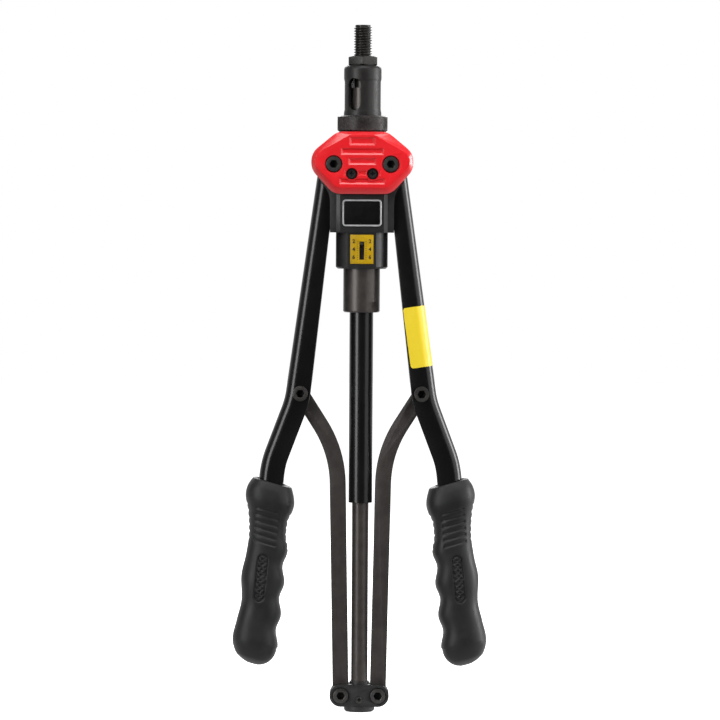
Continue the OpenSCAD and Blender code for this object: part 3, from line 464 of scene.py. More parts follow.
finish("yellow_plate", (0.3719, 0.2255, 0.0024), (0.4352, 0.2690, 0.0048), (0.42, 0.50), 150, (900, 0.004),
       gloss=0.2)
finish("plate_black", grey(0.003), grey(0.0045), (0.46, 0.54), 160, (2200, 0.006), gloss=0.08)
finish("plate_rim", (0.38, 0.38, 0.39), (0.46, 0.46, 0.47), (0.36, 0.44), 300, (2600, 0.004), metal=0.3)
finish("label_yellow", (0.7392, 0.5544, 0.0252), (0.7812, 0.6048, 0.0378), (0.34, 0.42), 60, (700, 0.004),
       coat=0.2)
finish("bolt_steel", (0.055, 0.053, 0.051), (0.070, 0.067, 0.064), (0.30, 0.38), 300, (2600, 0.006),
       metal=0.6)
finish("screw_black", grey(0.008), grey(0.013), (0.36, 0.44), 300, (2600, 0.006), gloss=0.35)
# The inside of the driving sockets: oil-dark steel, darkened further as painted shade.
finish("socket_oil_and_shade", grey(0.004), grey(0.008), (0.6, 0.7), 300, (3000, 0.006), gloss=0.2)
finish("print_ink", (0.012, 0.010, 0.006), (0.025, 0.020, 0.010), (0.5, 0.6), 400, (2000, 0.002))
finish("bronze", (0.42, 0.26, 0.09), (0.58, 0.38, 0.15), (0.30, 0.42), 200, (2800, 0.006), metal=1.0)
print("finishes", len(finishes))

# %% [markdown]
# Real edges are never knife sharp: paint, tumbling and casting round them, and the small round edge is what
# catches the light. The solids have true edges, so each of these pieces is a copy of its solid with the
# triangles merged into flat faces, and a narrow bevel on every edge that is sharper than the curves.

# %% Pieces with eased edges
def add_piece(name, mesh, material, body, slot, *replaced):
    """Puts a finished mesh in the scene, ties it to its body and hides the solids that it replaces. The slot
    is not used.
    """
    mesh.materials.clear()
    mesh.materials.append(finishes[material])
    piece = bpy.data.objects.new(name, mesh)
    scene.collection.objects.link(piece)
    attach(piece, body)
    if replaced:
        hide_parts(*replaced)
    print(name, len(mesh.polygons), "faces")
    return piece


def stand_in(node, mesh, material):
    """A piece that takes the place of a solid."""
    return add_piece(node + "_look", mesh, material, body_of[node], slot_of[node], node)


def evaluated(data, dress=None):
    """The plain mesh of an object with this data, once its modifiers have run."""
    helper = bpy.data.objects.new("helper", data)
    scene.collection.objects.link(helper)
    if dress:
        dress(helper)
    graph = bpy.context.evaluated_depsgraph_get()
    result = bpy.data.meshes.new_from_object(helper.evaluated_get(graph))
    bpy.data.objects.remove(helper)
    return result


def applied(mesh, *settings):
    """The mesh with the given modifiers applied: each is (kind, {attribute: value})."""
    def add_modifiers(helper):
        for kind, values in settings:
            modifier = helper.modifiers.new(kind.lower(), kind)
            for key, value in values.items():
                setattr(modifier, key, value)

    return evaluated(mesh, add_modifiers)


def soft_edges(width, angle):
    """A bevel of every edge that is sharper than the angle."""
    limit = math.radians(angle)
    return "BEVEL", {"width": width * mm, "segments": 2, "limit_method": "ANGLE", "angle_limit": limit}


even_faces = ("WEIGHTED_NORMAL", {"keep_sharp": True})


def smoothed(mesh, angle=38):
    """Smooth shading, with edges sharper than the angle kept crisp."""
    mesh.shade_smooth()
    mesh.set_sharp_from_angle(angle=math.radians(angle))
    return mesh


def flat_faced(node):
    """A copy of a solid's mesh with its triangles merged into flat faces."""
    mesh = frame["nodes"][node].data.copy()
    work = bmesh.new()
    work.from_mesh(mesh)
    bmesh.ops.remove_doubles(work, verts=work.verts, dist=0.002 * mm)
    bmesh.ops.dissolve_limit(work, angle_limit=math.radians(0.6), verts=work.verts, edges=work.edges)
    work.to_mesh(mesh)
    work.free()
    return mesh


def blacken_sockets(piece, node, radius):
    """Paints the inside of each driving socket darker: oil-dark steel, with painted shade for the shadow deep
    in it.
    """
    low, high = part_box(node)
    head_r = (high[2] - low[2]) / 2
    centre_x = max(abs(low[0]), abs(high[0])) - head_r
    centre_z = (high[2] + low[2]) / 2
    head_y = max(abs(low[1]), abs(high[1]) if node in both_faces else 0)
    # The faces deep in a socket take the darker finish: painted shade over oil-dark steel.
    piece.data.materials.append(finishes["socket_oil_and_shade"])
    for face in piece.data.polygons:
        off = math.hypot(abs(face.center.x) - centre_x, face.center.z - centre_z)
        if off < radius * mm and abs(face.center.y) < head_y - socket_lip * mm:
            face.material_index = 1


edge_widths = {
    "head_casting": 0.7, "front_cover": 0.6, "rear_cover": 0.6, "nose_sleeve": 0.5, "anvil_nut": 0.35,
    "left_link_arm": 0.35, "right_link_arm": 0.35, "crosshead_block": 0.6, "rod": 0.3, "guide_tube": 0.25,
    "stroke_sleeve": 0.4, "pivot_screws": 0.35, "cover_screws": 0.25, "left_link_bolt": 0.5,
    "right_link_bolt": 0.5, "left_link_nut": 0.4, "right_link_nut": 0.4, "crosshead_bolts": 0.5,
    "crosshead_nuts": 0.4, "rod_set_screw": 0.2, "drive_spindle": 0.4, "stroke_indicator": 0.2,
    "left_cam": 0.4, "right_cam": 0.4, "scale_plate": 0.1, "name_plate": 0.2,
}
sharp_from = 34
gentle_edges = {"front_cover": 16, "rear_cover": 16, "head_casting": 16}
key_radius = {
    "pivot_screws": 2.95, "left_link_bolt": 2.95, "right_link_bolt": 2.95, "crosshead_bolts": 2.95,
    "cover_screws": 1.8, "rod_set_screw": 1.5,
}
both_faces = ("pivot_screws", "cover_screws")
socket_lip = 0.35
own_finish = {node: "bolt_steel" for node in key_radius}
own_finish |= {
    "left_link_arm": "link_steel", "right_link_arm": "link_steel", "cover_screws": "screw_black",
    "nose_sleeve": "nose_steel",
}

for node, width in edge_widths.items():
    rounded = soft_edges(width, gentle_edges.get(node, sharp_from))
    mesh = smoothed(applied(flat_faced(node), rounded, even_faces))
    piece = stand_in(node, mesh, own_finish.get(node, slot_of[node]))
    if node in key_radius:
        blacken_sockets(piece, node, key_radius[node])

# %% [markdown]
# Thread, knurl, grip grooves and scale ticks repeat, so Geometry Nodes makes them. Each tree below is built
# in the script and moves the points of a plain finely divided form, or sets out copies of one small form. It
# is run once, and only its mesh is kept.

# %% Helpers for Geometry Nodes and meshes
def geometry_tree(name, inputs):
    """An empty geometry tree with named inputs, and the sockets at its two ends."""
    tree = bpy.data.node_groups.new(name, "GeometryNodeTree")
    for label, kind in (("Geometry", "Geometry"), *inputs, ("Material", "Material")):
        tree.interface.new_socket(label, in_out="INPUT", socket_type="NodeSocket" + kind)
    tree.interface.new_socket("Geometry", in_out="OUTPUT", socket_type="NodeSocketGeometry")
    return tree, tree.nodes.new("NodeGroupInput").outputs, tree.nodes.new("NodeGroupOutput").inputs


def stored(tree, name):
    """A value that the mesh carries at each point."""
    attribute = add_node(tree, "GeometryNodeInputNamedAttribute", {"Name": name}, data_type="FLOAT")
    return next(s for s in attribute.outputs if s.enabled and s.name == "Attribute")


def cylinder_place(tree):
    """Angle in turns, height and radius of each point, and its direction out from the Z axis."""
    place = axes_of(tree, add_node(tree, "GeometryNodeInputPosition").outputs[0])
    flat = add_node(tree, "ShaderNodeCombineXYZ", {axis: place[axis] for axis in "XY"}).outputs[0]
    angle = calc(tree, "DIVIDE", calc(tree, "ARCTAN2", place["Y"], place["X"]), 2 * math.pi)
    radius = vector_calc(tree, "LENGTH", flat)
    return angle, place["Z"], radius, vector_calc(tree, "NORMALIZE", flat)


def finish_tree(tree, geometry, start, end):
    """Realises the geometry, sets its material and ends the tree."""
    real = add_node(tree, "GeometryNodeRealizeInstances", {"Geometry": geometry}).outputs["Geometry"]
    coat = add_node(tree, "GeometryNodeSetMaterial", {"Geometry": real, "Material": start["Material"]})
    tree.links.new(coat.outputs["Geometry"], end["Geometry"])


def sink(tree, direction, depth, start, end):
    """Moves each point back along a direction and ends the tree."""
    shift = vector_calc(tree, "SCALE", direction, times(tree, depth, -1.0))
    place = add_node(tree, "GeometryNodeSetPosition", {"Geometry": start["Geometry"], "Offset": shift})
    finish_tree(tree, place.outputs["Geometry"], start, end)


def grown(mesh, tree, material, **values):
    """The mesh that a tree makes of a mesh, with the tree's named inputs set."""
    values["Material"] = finishes[material]

    def add_tree(helper):
        modifier = helper.modifiers.new("grown", "NODES")
        modifier.node_group = tree
        for socket in tree.interface.items_tree:
            if socket.in_out == "INPUT" and socket.name in values:
                modifier[socket.identifier] = values[socket.name]

    return evaluated(mesh, add_tree)


def mended(mesh, merge=True):
    """The mesh with its faces turned outwards, after its doubled points are merged."""
    work = bmesh.new()
    work.from_mesh(mesh)
    if merge:
        bmesh.ops.remove_doubles(work, verts=work.verts, dist=0.001 * mm)
    bmesh.ops.recalc_face_normals(work, faces=work.faces)
    work.to_mesh(mesh)
    work.free()
    return mesh


def skin(name, rings, caps="fan"):
    """A mesh through rings of points in mm. A fan closes a round end, and a strip a folded one."""
    rings = np.asarray(rings, dtype=float) * mm
    count, around = rings.shape[:2]
    points = rings.reshape(-1, 3).tolist()
    faces = []
    for k in range((count - 1) * around):
        further = k + 1 if (k + 1) % around else k + 1 - around
        faces.append((k, further, further + around, k + around))
    for first in (0, (count - 1) * around):
        if caps == "fan":
            points.append(rings[first // around].mean(axis=0).tolist())
            centre = len(points) - 1
            faces += [(first + i, first + (i + 1) % around, centre) for i in range(around)]
        if caps == "strip":
            last = first + around - 1
            faces += [(first + i, first + i + 1, last - i - 1, last - i) for i in range(around // 2 - 1)]
    mesh = bpy.data.meshes.new(name)
    mesh.from_pydata(points, [], faces)
    return mended(mesh, merge=False)


def turned(name, profile, around, closed=False):
    """A turned form from (radius, height) pairs, as a bar or as a ring."""
    angles = np.linspace(0, 2 * np.pi, around, endpoint=False)
    pairs = list(profile) + ([profile[0]] if closed else [])
    rings = [np.stack((r * np.cos(angles), r * np.sin(angles), np.full(around, z)), axis=1) for r, z in pairs]
    return mended(skin(name, rings, None)) if closed else skin(name, rings)


def joined(name, *meshes):
    """Several meshes as one."""
    work = bmesh.new()
    for mesh in meshes:
        work.from_mesh(mesh)
    result = bpy.data.meshes.new(name)
    work.to_mesh(result)
    work.free()
    return result


def mirrored(mesh, sign):
    """A copy of a right-hand mesh for the side that the sign gives."""
    copy = mesh.copy()
    copy.transform(Matrix.Diagonal((sign, 1, 1, 1)))
    if sign < 0:
        copy.flip_normals()
    return copy


def steps(start, stop, size):
    """Even steps from start to stop, none longer than the given size."""
    return np.linspace(start, stop, int(math.ceil(abs(stop - start) / size)) + 1)


sides = (("right", 1), ("left", -1))
print("helpers for geometry nodes and meshes")

# %% [markdown]
# The mandrel is a hardened screw, M12 with a pitch of 1.75 mm. A rolled or cut thread is one helix, so the
# height of each point and its angle give the depth of the groove, and the groove fades out at the shank.

# %% Mandrel
def make_thread_tree():
    """Presses a helical groove into a bar, from its wall inwards."""
    root_at, crest_at = 0.12, 0.78
    wall_shares = (0.86, 0.9)
    tree, start, end = geometry_tree(
        "screw_thread", [("Pitch", "Float"), ("Depth", "Float"), ("Radius", "Float"), ("Bottom", "Float")]
    )
    angle, height, radius, out = cylinder_place(tree)
    crest = ridge(tree, calc(tree, "SUBTRACT", calc(tree, "DIVIDE", height, start["Pitch"]), angle))
    groove = calc(tree, "SUBTRACT", 1.0, ramp(tree, crest, root_at, crest_at))
    fade = ramp(tree, height, start["Bottom"], calc(tree, "ADD", start["Bottom"], start["Pitch"]))
    wall = ramp(tree, radius, *(times(tree, start["Radius"], share) for share in wall_shares))
    sink(tree, out, times(tree, groove, fade, wall, start["Depth"]), start, end)
    return tree


mandrel_low, mandrel_high = box_mm("mandrel")
thread_r, thread_end = float(mandrel_high[0]), float(mandrel_high[2])
thread_pitch, thread_depth, thread_bottom = 1.75, 1.07, -0.5
point_chamfer, point_centre = 1.0, 0.4
shank_relief, shank_step = 0.6, 0.02
shank_r = thread_r - shank_relief
hex_across, hex_len, hex_overlap = 9.0, 9.0, 1.0
hex_low = float(mandrel_low[2])
shank_low = hex_low + hex_len
profile = [(point_centre, thread_end), (thread_r - point_chamfer, thread_end)]
profile += [(thread_r, z) for z in steps(thread_end - point_chamfer, 0.0, thread_pitch / 12)]
profile += [(shank_r, -shank_step), (shank_r, shank_low)]
threaded = grown(
    turned("mandrel_plain", profile, 96), make_thread_tree(), "thread_black", Pitch=thread_pitch * mm,
    Depth=thread_depth * mm, Radius=thread_r * mm, Bottom=thread_bottom * mm,
)
hex_r = hex_across / math.sqrt(3)
hex_tail = turned("hex_tail", [(hex_r, shank_low + hex_overlap), (hex_r, hex_low)], 6)
stand_in("mandrel", smoothed(joined("mandrel_look", threaded, hex_tail), 50), "thread_black")
print("threads", round(thread_end / thread_pitch, 1))

# %% [markdown]
# The collar is knurled so that it can be turned by hand. A knurling tool presses two sets of crossed helical
# grooves, which leaves small pyramids, so two zigzags that run opposite ways give the depth.

# %% Lock collar
def make_knurl_tree():
    """Presses crossed grooves into the outer wall of a ring."""
    wall_skin = 0.02
    tree, start, end = geometry_tree(
        "diamond_knurl", [("Count", "Float"), ("Pitch", "Float"), ("Depth", "Float"), ("Radius", "Float")]
    )
    angle, height, radius, out = cylinder_place(tree)
    round_it = times(tree, angle, start["Count"])
    up = calc(tree, "DIVIDE", height, start["Pitch"])
    zigzags = [ridge(tree, calc(tree, way, round_it, up)) for way in ("ADD", "SUBTRACT")]
    groove = calc(tree, "SUBTRACT", 1.0, calc(tree, "MINIMUM", *zigzags))
    wall = ramp(tree, radius, calc(tree, "SUBTRACT", start["Radius"], wall_skin * mm), start["Radius"])
    sink(tree, out, times(tree, groove, wall, start["Depth"]), start, end)
    return tree


collar_low, collar_high = (float(corner[2]) for corner in box_mm("lock_collar"))
collar_lap, knurl_depth = 1.7, 0.45
collar_hole_r = nose_r - collar_lap
collar_edge, face_inset = 0.9, 1.2
shoulder_in, shoulder_up = 0.25, 0.15
wall_top, wall_bottom = collar_high - collar_edge, collar_low + collar_edge
profile = [(collar_hole_r, collar_high), (collar_r - face_inset, collar_high)]
profile += [(collar_r - shoulder_in, wall_top + shoulder_up)]
profile += [(collar_r, z) for z in steps(wall_top, wall_bottom, knurl_pitch / 4)]
profile += [(collar_r - shoulder_in, wall_bottom - shoulder_up)]
profile += [(collar_r - face_inset, collar_low), (collar_hole_r, collar_low)]
knurled = grown(
    turned("collar_plain", profile, knurl_count * 4, closed=True), make_knurl_tree(), "knurled_steel",
    Count=float(knurl_count), Pitch=knurl_pitch * mm, Depth=knurl_depth * mm, Radius=collar_r * mm,
)
stand_in("lock_collar", smoothed(knurled, 30), "knurled_steel")
print(knurl_count, "diamonds round")

# %% [markdown]
# Each handle is a strip of sheet that is pressed to a channel and bent twice. Its soft corners draw the wide
# band of shine down the handle. The solid's corners are coarse, so the channel is lofted anew along the same
# bent line, with rounder corners in fine steps. Lugs are added at the pivot, and the holes are cut last.

# %% Handle channels
channel_half = np.array((8.2, 10.0))
sheet_thick, sheet_edge = 2.0, 0.55
outer_corner, inner_corner = 6.5, 2.0
handle_start = np.array((20.385, -71.584))
upper_lean, elbow_lean, grip_lean = (math.radians(lean) for lean in (8, 20.65, 5.65))
upper_len, elbow_len, grip_run = 159.5, 44.35, 114.6
channel_top, flange_taper, bend_r = 8.5, 4.6, 60.0
station_step = 6.0
lug_r, lug_inset = 8.4, 0.02
bolt_hole_r, hole_slack = 3.55, 0.15


def along(lean):
    """Down the handle, as X and Z."""
    return np.array((math.sin(lean), -math.cos(lean)))


def across(lean):
    """Outwards from the handle, as X and Z."""
    return np.array((math.cos(lean), math.sin(lean)))


def round_bend(corner, before, after, count=8):
    """The places and leans of the centre line round one bend."""
    bow = math.copysign(bend_r, after - before)
    centre = corner + across((before + after) / 2) * bow / math.cos((after - before) / 2)
    return [(centre - across(lean) * bow, lean) for lean in np.linspace(before, after, count + 1)]


def channel_line(half, corner, tip, count=16):
    """Points along one face of the sheet: front flange, corner, web, corner and rear flange."""
    turns = np.linspace(-math.pi / 2, 0, count + 1)
    centre = half - corner
    front = np.stack((centre[0] + corner * np.cos(turns), corner * np.sin(turns) - centre[1]), axis=1)
    return np.concatenate(([(tip, -half[1])], front, front[::-1] * (1, -1), [(tip, half[1])]))


def set_across(place, lean, section):
    """Points of a section, (outwards, back), at a place on the handle."""
    flat = place + np.outer(section[:, 0], across(lean))
    return np.stack((flat[:, 0], section[:, 1], flat[:, 1]), axis=1)


def combined(mesh, operation, other):
    """A mesh with another one added or cut away."""
    tool = bpy.data.objects.new("tool", other)
    scene.collection.objects.link(tool)
    result = applied(mesh, ("BOOLEAN", {"operation": operation, "object": tool, "solver": "EXACT"}))
    bpy.data.objects.remove(tool)
    return mended(result)


def bar_y(at, radius, low, high):
    """A round bar from low to high along Y, at a place given as X and Z."""
    bar = turned("bar", [(radius, low), (radius, high)], 64)
    bar.transform(Matrix.Translation(Vector((at[0], 0, at[1])) * mm) @ Matrix.Rotation(-math.pi / 2, 4, "X"))
    return bar


first_bend = handle_start + upper_len * along(upper_lean)
second_bend = first_bend + elbow_len * along(elbow_lean)
line_top = handle_start - channel_top * along(upper_lean)
bent_line = [(line_top, upper_lean)]
bent_line += round_bend(first_bend, upper_lean, elbow_lean)
bent_line += round_bend(second_bend, elbow_lean, grip_lean)
bent_line += [(second_bend + grip_run * along(grip_lean), grip_lean)]
stations = bent_line[:1]
for (place, _), (further, lean) in zip(bent_line, bent_line[1:]):
    length = np.linalg.norm(further - place)
    shares = steps(0, length, station_step)[1:] / length
    stations += [(place + share * (further - place), lean) for share in shares]
taper_len = np.linalg.norm(bent_line[1][0] - line_top)
rings = []
for place, lean in stations:
    taper = flange_taper * max(0, 1 - np.linalg.norm(place - line_top) / taper_len)
    outside = channel_line(channel_half, outer_corner, taper - channel_half[0])
    inside = channel_line(channel_half - sheet_thick, inner_corner, taper - channel_half[0])
    rings.append(set_across(place, lean, np.concatenate((outside, inside[::-1]))))
channel_mesh = applied(skin("channel", rings, "strip"), soft_edges(sheet_edge, sharp_from))

pin_low, pin_high = box_mm("pivot_pins")
pin_r = (pin_high[2] - pin_low[2]) / 2
pivot = pin_high[[0, 2]] - pin_r
bolt_at = sum(box_mm("right_link_bolt"))[[0, 2]] / 2
lug_out, lug_in = channel_half[1] - lug_inset, channel_half[1] - sheet_thick + lug_inset
for low, high in ((-lug_out, -lug_in), (lug_in, lug_out)):
    channel_mesh = combined(channel_mesh, "UNION", bar_y(pivot, lug_r, low, high))
for at, radius in ((pivot, pin_r + hole_slack), (bolt_at, bolt_hole_r)):
    channel_mesh = combined(channel_mesh, "DIFFERENCE", bar_y(at, radius, -2 * lug_out, 2 * lug_out))
channel_mesh = applied(channel_mesh, even_faces)
for side, sign in sides:
    stand_in(side + "_handle_channel", smoothed(mirrored(channel_mesh, sign)), "handle_enamel")

# %% [markdown]
# The grips are moulded rubber sleeves, pushed on the channels. Their form is a loft: a palm line, a finger
# line and a depth line are carried along the handle, and each ring leans with the grip's rim.

# %% Form of the grips
grip_from, grip_to = 12.0, 134.0
grip_tilt = math.tan(math.radians(10))
palm_line = [
    (12, 12), (18.5, 15.2), (25.5, 16), (35.5, 13.2), (50.5, 11.2), (64.5, 11.8), (78.5, 13.4), (94.5, 11.6),
    (108.5, 13.4), (grip_to - 13, 14.85), (grip_to - 5, 12.2), (grip_to - 1.6, 8), (grip_to, 4),
]
finger_line = [(12, 13.9), (18, 16.1), (23, 16.9), (28, 16.1), (34, 14), (40, 13.6), (46, 13.8)]
depth_line = [
    (12, 12.6), (18, 15), (25, 16), (36, 13.8), (50, 13.2), (78, 14), (95, 13.6), (110, 14.5),
    (grip_to - 13, 15), (grip_to - 5, 12), (grip_to - 1.6, 7.5), (grip_to, 3.5),
]
finger_pitch, finger_depth, finger_mean = 21.4, 2.3, 14.7
first_crest, finger_from, finger_end_drop = 54.4, 46.0, 15.0
grip_round, pocket_round = 0.78, 0.35
pocket_half = np.array((8.35, 10.15))
pocket_to, pocket_flare = 114.75, 0.3
rim_round = 1.1
rim_rings = np.linspace(grip_from, grip_from + 0.8, 3)
grip_rings = np.concatenate((rim_rings, steps(grip_from + 1.2, grip_to, 0.42)))
point_values = ("ring", "run", "across", "outer")


def hermite(points, x):
    """A smooth curve through (x, y) points."""
    xs, ys = (np.array(values, dtype=float) for values in zip(*points))
    low = np.maximum(np.arange(len(xs)) - 1, 0)
    high = np.minimum(np.arange(len(xs)) + 1, len(xs) - 1)
    slopes = (ys[high] - ys[low]) / (xs[high] - xs[low])
    k = np.clip(np.searchsorted(xs, x) - 1, 0, len(xs) - 2)
    h = xs[k + 1] - xs[k]
    t = (x - xs[k]) / h
    return float(
        (2 * t**3 - 3 * t**2 + 1) * ys[k] + (t**3 - 2 * t**2 + t) * h * slopes[k]
        + (3 * t**2 - 2 * t**3) * ys[k + 1] + (t**3 - t**2) * h * slopes[k + 1]
    )


def finger_offset(s):
    """How far the finger side lies from the centre line: a neck, then waves, then a round end."""
    if s < finger_from:
        return hermite(finger_line, s)
    wave = finger_mean + finger_depth / 2 * math.cos(2 * math.pi * (s - first_crest) / finger_pitch)
    if s < grip_to - finger_end_drop:
        return wave
    t = (s - grip_to + finger_end_drop) / (finger_end_drop + 0.4)
    return min(wave, finger_mean * math.sqrt(max(0.05, 1 - t**2)) + 0.6)


def soft_oblong(around, power):
    """Points round an oblong that is one wide each way: a power of 1 is round, and less is squarer."""
    angles = np.linspace(0, 2 * np.pi, around, endpoint=False)
    circle = np.stack((np.cos(angles), np.sin(angles)), axis=1)
    return np.sign(circle) * np.abs(circle) ** power


def grip_loft(around=216):
    """The plain grip, with its pocket, and what its points carry for the relief."""
    form, pocket = soft_oblong(around, grip_round), soft_oblong(around, pocket_round)
    rows = [(pocket_to, pocket * pocket_half, 0)]
    rows += [(grip_from + rim_round, pocket * (pocket_half + pocket_flare), 0)]
    for s in grip_rings:
        palm, finger = hermite(palm_line, s), -finger_offset(s)
        to_rim = min(1, (s - grip_from) / rim_round)
        rim = rim_round * (1 - math.sqrt(max(0, 1 - (1 - to_rim) ** 2)))
        half = np.array(((palm - finger) / 2, hermite(depth_line, s))) - rim
        rows.append((s, np.array(((palm + finger) / 2, 0)) + form * half, 1))
    rings, marks = [], []
    for s, section, outer in rows:
        x, y = section.T
        run = s - x * grip_tilt
        flat = second_bend + np.outer(run, along(grip_lean)) + np.outer(x, across(grip_lean))
        rings.append(np.stack((flat[:, 0], y, flat[:, 1]), axis=1))
        marks.append(np.stack((np.full(around, s), run, x, np.full(around, outer)), axis=1))
    mesh = skin("grip_plain", rings)
    values = np.zeros((len(mesh.vertices), len(point_values)))
    values[:len(rows) * around] = np.concatenate(marks)
    for column, label in enumerate(point_values):
        layer = mesh.attributes.new(label, "FLOAT", "POINT")
        layer.data.foreach_set("value", values[:, column].astype(np.float32))
    return mesh


print("grip", grip_to - grip_from, "mm long,", len(grip_rings), "rings")

# %% [markdown]
# The mould adds slanted grooves at the neck and a sunk oblong with crossed ribs. Both repeat, so a tree
# presses them into the loft, from what each point carries of its place along and across the grip.

# %% Relief of the grips
def make_grip_tree():
    """Presses slanted grooves and a ribbed oblong into the grip, with all sizes in mm."""
    labels = (
        "First", "Pitch", "Last", "Groove", "Reach", "Lattice", "Panel_Centre", "Panel_Length", "Panel_Width",
        "Panel_Depth",
    )
    tree, start, end = geometry_tree("grip_relief", [(label, "Float") for label in labels])
    ring, run, out, outer = (stored(tree, label) for label in point_values)
    normal = add_node(tree, "GeometryNodeInputNormal").outputs[0]
    to_front = calc(tree, "ABSOLUTE", axes_of(tree, normal)["Y"])
    facing = ramp(tree, to_front, low=0.62, high=0.8)
    beside = ramp(tree, to_front, low=0.3, high=0.1)

    wave = ridge(tree, calc(tree, "DIVIDE", calc(tree, "SUBTRACT", ring, start["First"]), start["Pitch"]))
    groove_fade, reach_fade, side_share = 1.2, 1.0, 0.6
    fade_in = ramp(tree, ring, calc(tree, "SUBTRACT", start["First"], groove_fade), start["First"])
    fade_out = ramp(tree, ring, calc(tree, "ADD", start["Last"], groove_fade), start["Last"])
    full_reach = calc(tree, "SUBTRACT", start["Reach"], reach_fade)
    reach = ramp(tree, calc(tree, "ABSOLUTE", out), start["Reach"], full_reach)
    where = calc(tree, "MAXIMUM", times(tree, facing, reach), times(tree, beside, side_share))
    trough = ramp(tree, wave, low=0.35, high=0.95)
    groove = times(tree, trough, fade_in, fade_out, where, start["Groove"])

    half = times(tree, start["Panel_Width"], 0.5)
    straight = calc(tree, "SUBTRACT", times(tree, start["Panel_Length"], 0.5), half)
    up = calc(tree, "SUBTRACT", run, start["Panel_Centre"])
    over = calc(tree, "MAXIMUM", calc(tree, "SUBTRACT", calc(tree, "ABSOLUTE", up), straight), 0.0)
    off = calc(tree, "SQRT", calc(tree, "ADD", times(tree, over, over), times(tree, out, out)))
    inside = times(tree, ramp(tree, calc(tree, "SUBTRACT", off, half), low=0.25, high=-0.25), facing)
    edge = ramp(tree, calc(tree, "SUBTRACT", half, off), low=1.0, high=0.7)
    ways = [calc(tree, "DIVIDE", calc(tree, way, up, out), start["Lattice"]) for way in ("ADD", "SUBTRACT")]
    ribs = ramp(tree, calc(tree, "MAXIMUM", *(ridge(tree, way) for way in ways)), low=0.8, high=0.62)
    sunk = times(tree, inside, calc(tree, "MAXIMUM", ribs, edge), start["Panel_Depth"])
    sink(tree, normal, times(tree, calc(tree, "ADD", groove, sunk), outer, mm), start, end)
    return tree


grip_mesh = grown(
    grip_loft(), make_grip_tree(), "rubber", First=30.6, Pitch=4.4, Last=53.0, Groove=0.75, Reach=8.2,
    Lattice=3.6, Panel_Centre=76.0, Panel_Length=32.0, Panel_Width=7.2, Panel_Depth=1.0,
)
for label in point_values:
    grip_mesh.attributes.remove(grip_mesh.attributes[label])
for side, sign in sides:
    stand_in(side + "_grip", smoothed(mirrored(grip_mesh, sign), 60), "rubber")

# %% [markdown]
# The name plate has a bright raised border round a bare black field. Such a border is pressed up from the
# sheet and left without paint, so it is one softened bar that follows the outline of the plate.

# %% Border of the name plate
border_inset, border_round, border_bar = 0.15, 2.2, 1.05
border_sink, border_rise, border_soft = 0.05, 0.22, 0.12


def rounded_outline(width, height, radius, corner_steps=6):
    """Points round a rectangle with round corners."""
    points = []
    for turn, (x, z) in enumerate(((1, 1), (-1, 1), (-1, -1), (1, -1))):
        for k in range(corner_steps + 1):
            angle = math.pi / 2 * (turn + k / corner_steps)
            across_it = x * (width / 2 - radius) + radius * math.cos(angle)
            points.append((across_it, z * (height / 2 - radius) + radius * math.sin(angle)))
    return np.array(points)


plate_low, plate_high = box_mm("name_plate")
plate_width, _, plate_height = plate_high - plate_low
plate_z = (plate_low[2] + plate_high[2]) / 2
back_y, front_y = plate_low[1] + border_sink, plate_low[1] - border_rise
section = [
    (0, back_y), (0, front_y + border_soft), (border_soft, front_y), (border_bar - border_soft, front_y),
    (border_bar, front_y + border_soft), (border_bar, back_y), (0, back_y),
]
rings = []
for inset, y in section:
    trim = 2 * (border_inset + inset)
    outline = rounded_outline(plate_width - trim, plate_height - trim, max(0.3, border_round - inset))
    rings.append(np.stack((outline[:, 0], np.full(len(outline), y), outline[:, 1] + plate_z), axis=1))
border = smoothed(mended(skin("name_plate_border", rings, None)))
add_piece("name_plate_border", border, "plate_rim", body_of["name_plate"], "machined_steel")

# %% [markdown]
# The yellow scale is printed: plain numbers beside its slot, with a short tick for each step. The ticks are
# copies of one small bar, and each number is a letter form as thin as a layer of ink.

# %% Marks of the scale
def make_tick_tree():
    """Sets out a row of small bars."""
    tree, start, end = geometry_tree(
        "scale_ticks", [("Count", "Int"), ("Start", "Vector"), ("Step", "Vector"), ("Size", "Vector")]
    )
    row = {"Count": start["Count"], "Start Location": start["Start"], "Offset": start["Step"]}
    line = add_node(tree, "GeometryNodeMeshLine", row).outputs["Mesh"]
    tick = add_node(tree, "GeometryNodeMeshCube", {"Size": start["Size"]}).outputs["Mesh"]
    copies = add_node(tree, "GeometryNodeInstanceOnPoints", {"Points": line, "Instance": tick})
    finish_tree(tree, copies.outputs["Instances"], start, end)
    return tree


scale_low, scale_high = box_mm("scale_plate")
scale_z = (scale_low[2] + scale_high[2]) / 2
ink_thick, ink_lift = 0.05, 0.02
ink_y = scale_low[1] - ink_lift
tick_count, tick_step, tick_x, tick_drop = 9, 1.5, 2.75, 0.9
tick_size = np.array((1.0, ink_thick, 0.28))
number_size, number_swell = 3.5, 0.13
number_x, number_top, number_step = 5.4, 5.2, 5.25


def number(digit, x, z):
    """One printed number at a place on the scale."""
    letters = bpy.data.curves.new("number", "FONT")
    letters.body = digit
    letters.size = number_size * mm
    letters.align_x, letters.align_y = "CENTER", "CENTER"
    letters.extrude = ink_thick / 2 * mm
    letters.offset = number_swell * mm
    mesh = evaluated(letters)
    mesh.transform(Matrix.Translation(Vector((x, ink_y, z)) * mm) @ Matrix.Rotation(math.pi / 2, 4, "X"))
    return mended(mesh)


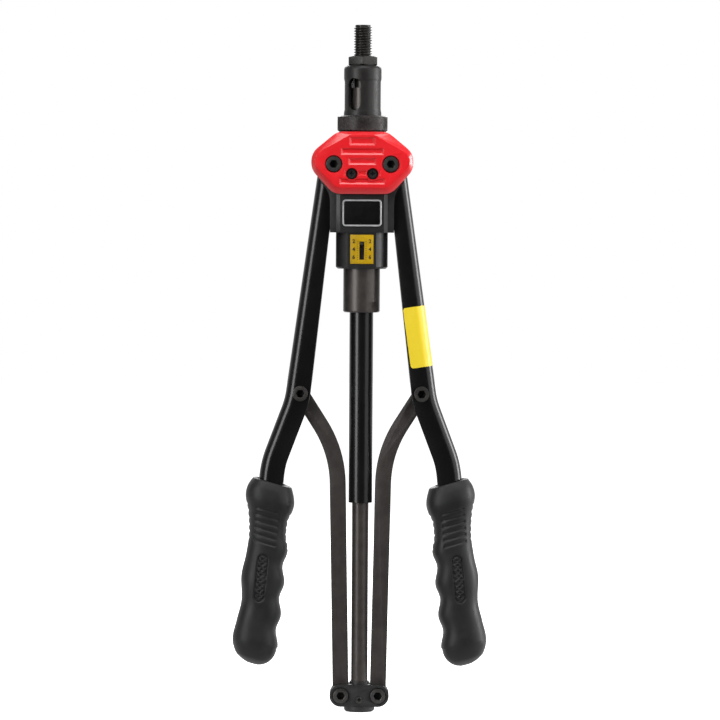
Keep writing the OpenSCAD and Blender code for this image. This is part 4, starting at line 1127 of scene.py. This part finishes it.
tick_tree = make_tick_tree()
first_tick_z = scale_z - tick_drop + tick_step * (tick_count - 1) / 2
prints = []
for _, sign in sides:
    first_tick = np.array((sign * tick_x, ink_y, first_tick_z))
    prints.append(grown(
        bpy.data.meshes.new("ticks"), tick_tree, "print_ink", Count=tick_count, Start=tuple(first_tick * mm),
        Step=(0, 0, -tick_step * mm), Size=tuple(tick_size * mm),
    ))
    for row, digit in enumerate(("2", "4", "6")):
        prints.append(number(digit, sign * number_x, scale_z + number_top - number_step * row))
add_piece(
    "scale_marks", joined("scale_marks", *prints), "print_ink", body_of["scale_plate"], "plate_black"
)

# %% [markdown]
# A yellow label is stuck round the outer corner of the right handle. It is left blank: a thin vinyl sheet
# that follows the front flange, the round corner and a little of the web, with round corners of its own.

# %% Blank label
label_middle, label_length, label_round = 115.7, 40.4, 1.6
label_lift, label_thick = 0.03, 0.14
label_from, label_web = -6.3, (-2.7, -1.9)
web_x, flange_y = channel_half
corner_x, corner_y = channel_half - outer_corner
section, facing = [], []
for x in steps(label_from, corner_x, 0.8)[:-1]:
    section.append((x, -flange_y))
    facing.append((0, -1))
for turn in np.linspace(-math.pi / 2, 0, 17):
    facing.append((math.cos(turn), math.sin(turn)))
    section.append((corner_x + outer_corner * facing[-1][0], outer_corner * facing[-1][1] - corner_y))
for y in label_web:
    section.append((web_x, y))
    facing.append((1, 0))
section, facing = np.array(section), np.array(facing)
width_run = np.concatenate(([0], np.cumsum(np.linalg.norm(np.diff(section, axis=0), axis=1))))
from_side = np.minimum(np.minimum(width_run, width_run[-1] - width_run), label_round)
short = label_round - np.sqrt(label_round**2 - (label_round - from_side) ** 2)
rings = []
for share in np.linspace(-1, 1, 12):
    reach = label_middle + share * (label_length / 2 - short)
    place = handle_start + np.outer(reach, along(upper_lean))
    layers = [set_across(place, upper_lean, section + facing * lift)
              for lift in (label_lift, label_lift + label_thick)]
    rings.append(np.concatenate((layers[0], layers[1][::-1])))
label = smoothed(skin("blank_label", rings, "strip"))
add_piece("blank_label", label, "label_yellow", body_of["right_handle_channel"], "yellow_plate")
print("label", label_length, "by", round(width_run[-1], 1), "mm")

# %% [markdown]
# The inner pieces are turned metal that shows only through gaps, so their solids stay as they are and take
# their finish directly.

# %% Finishes of the solids that stay
kept = [node for node in slot_of if not frame["nodes"][node].hide_render]
for node in kept:
    solid = frame["nodes"][node]
    solid.data.materials.clear()
    solid.data.materials.append(finishes[slot_of[node]])
print("solids that stay", kept)
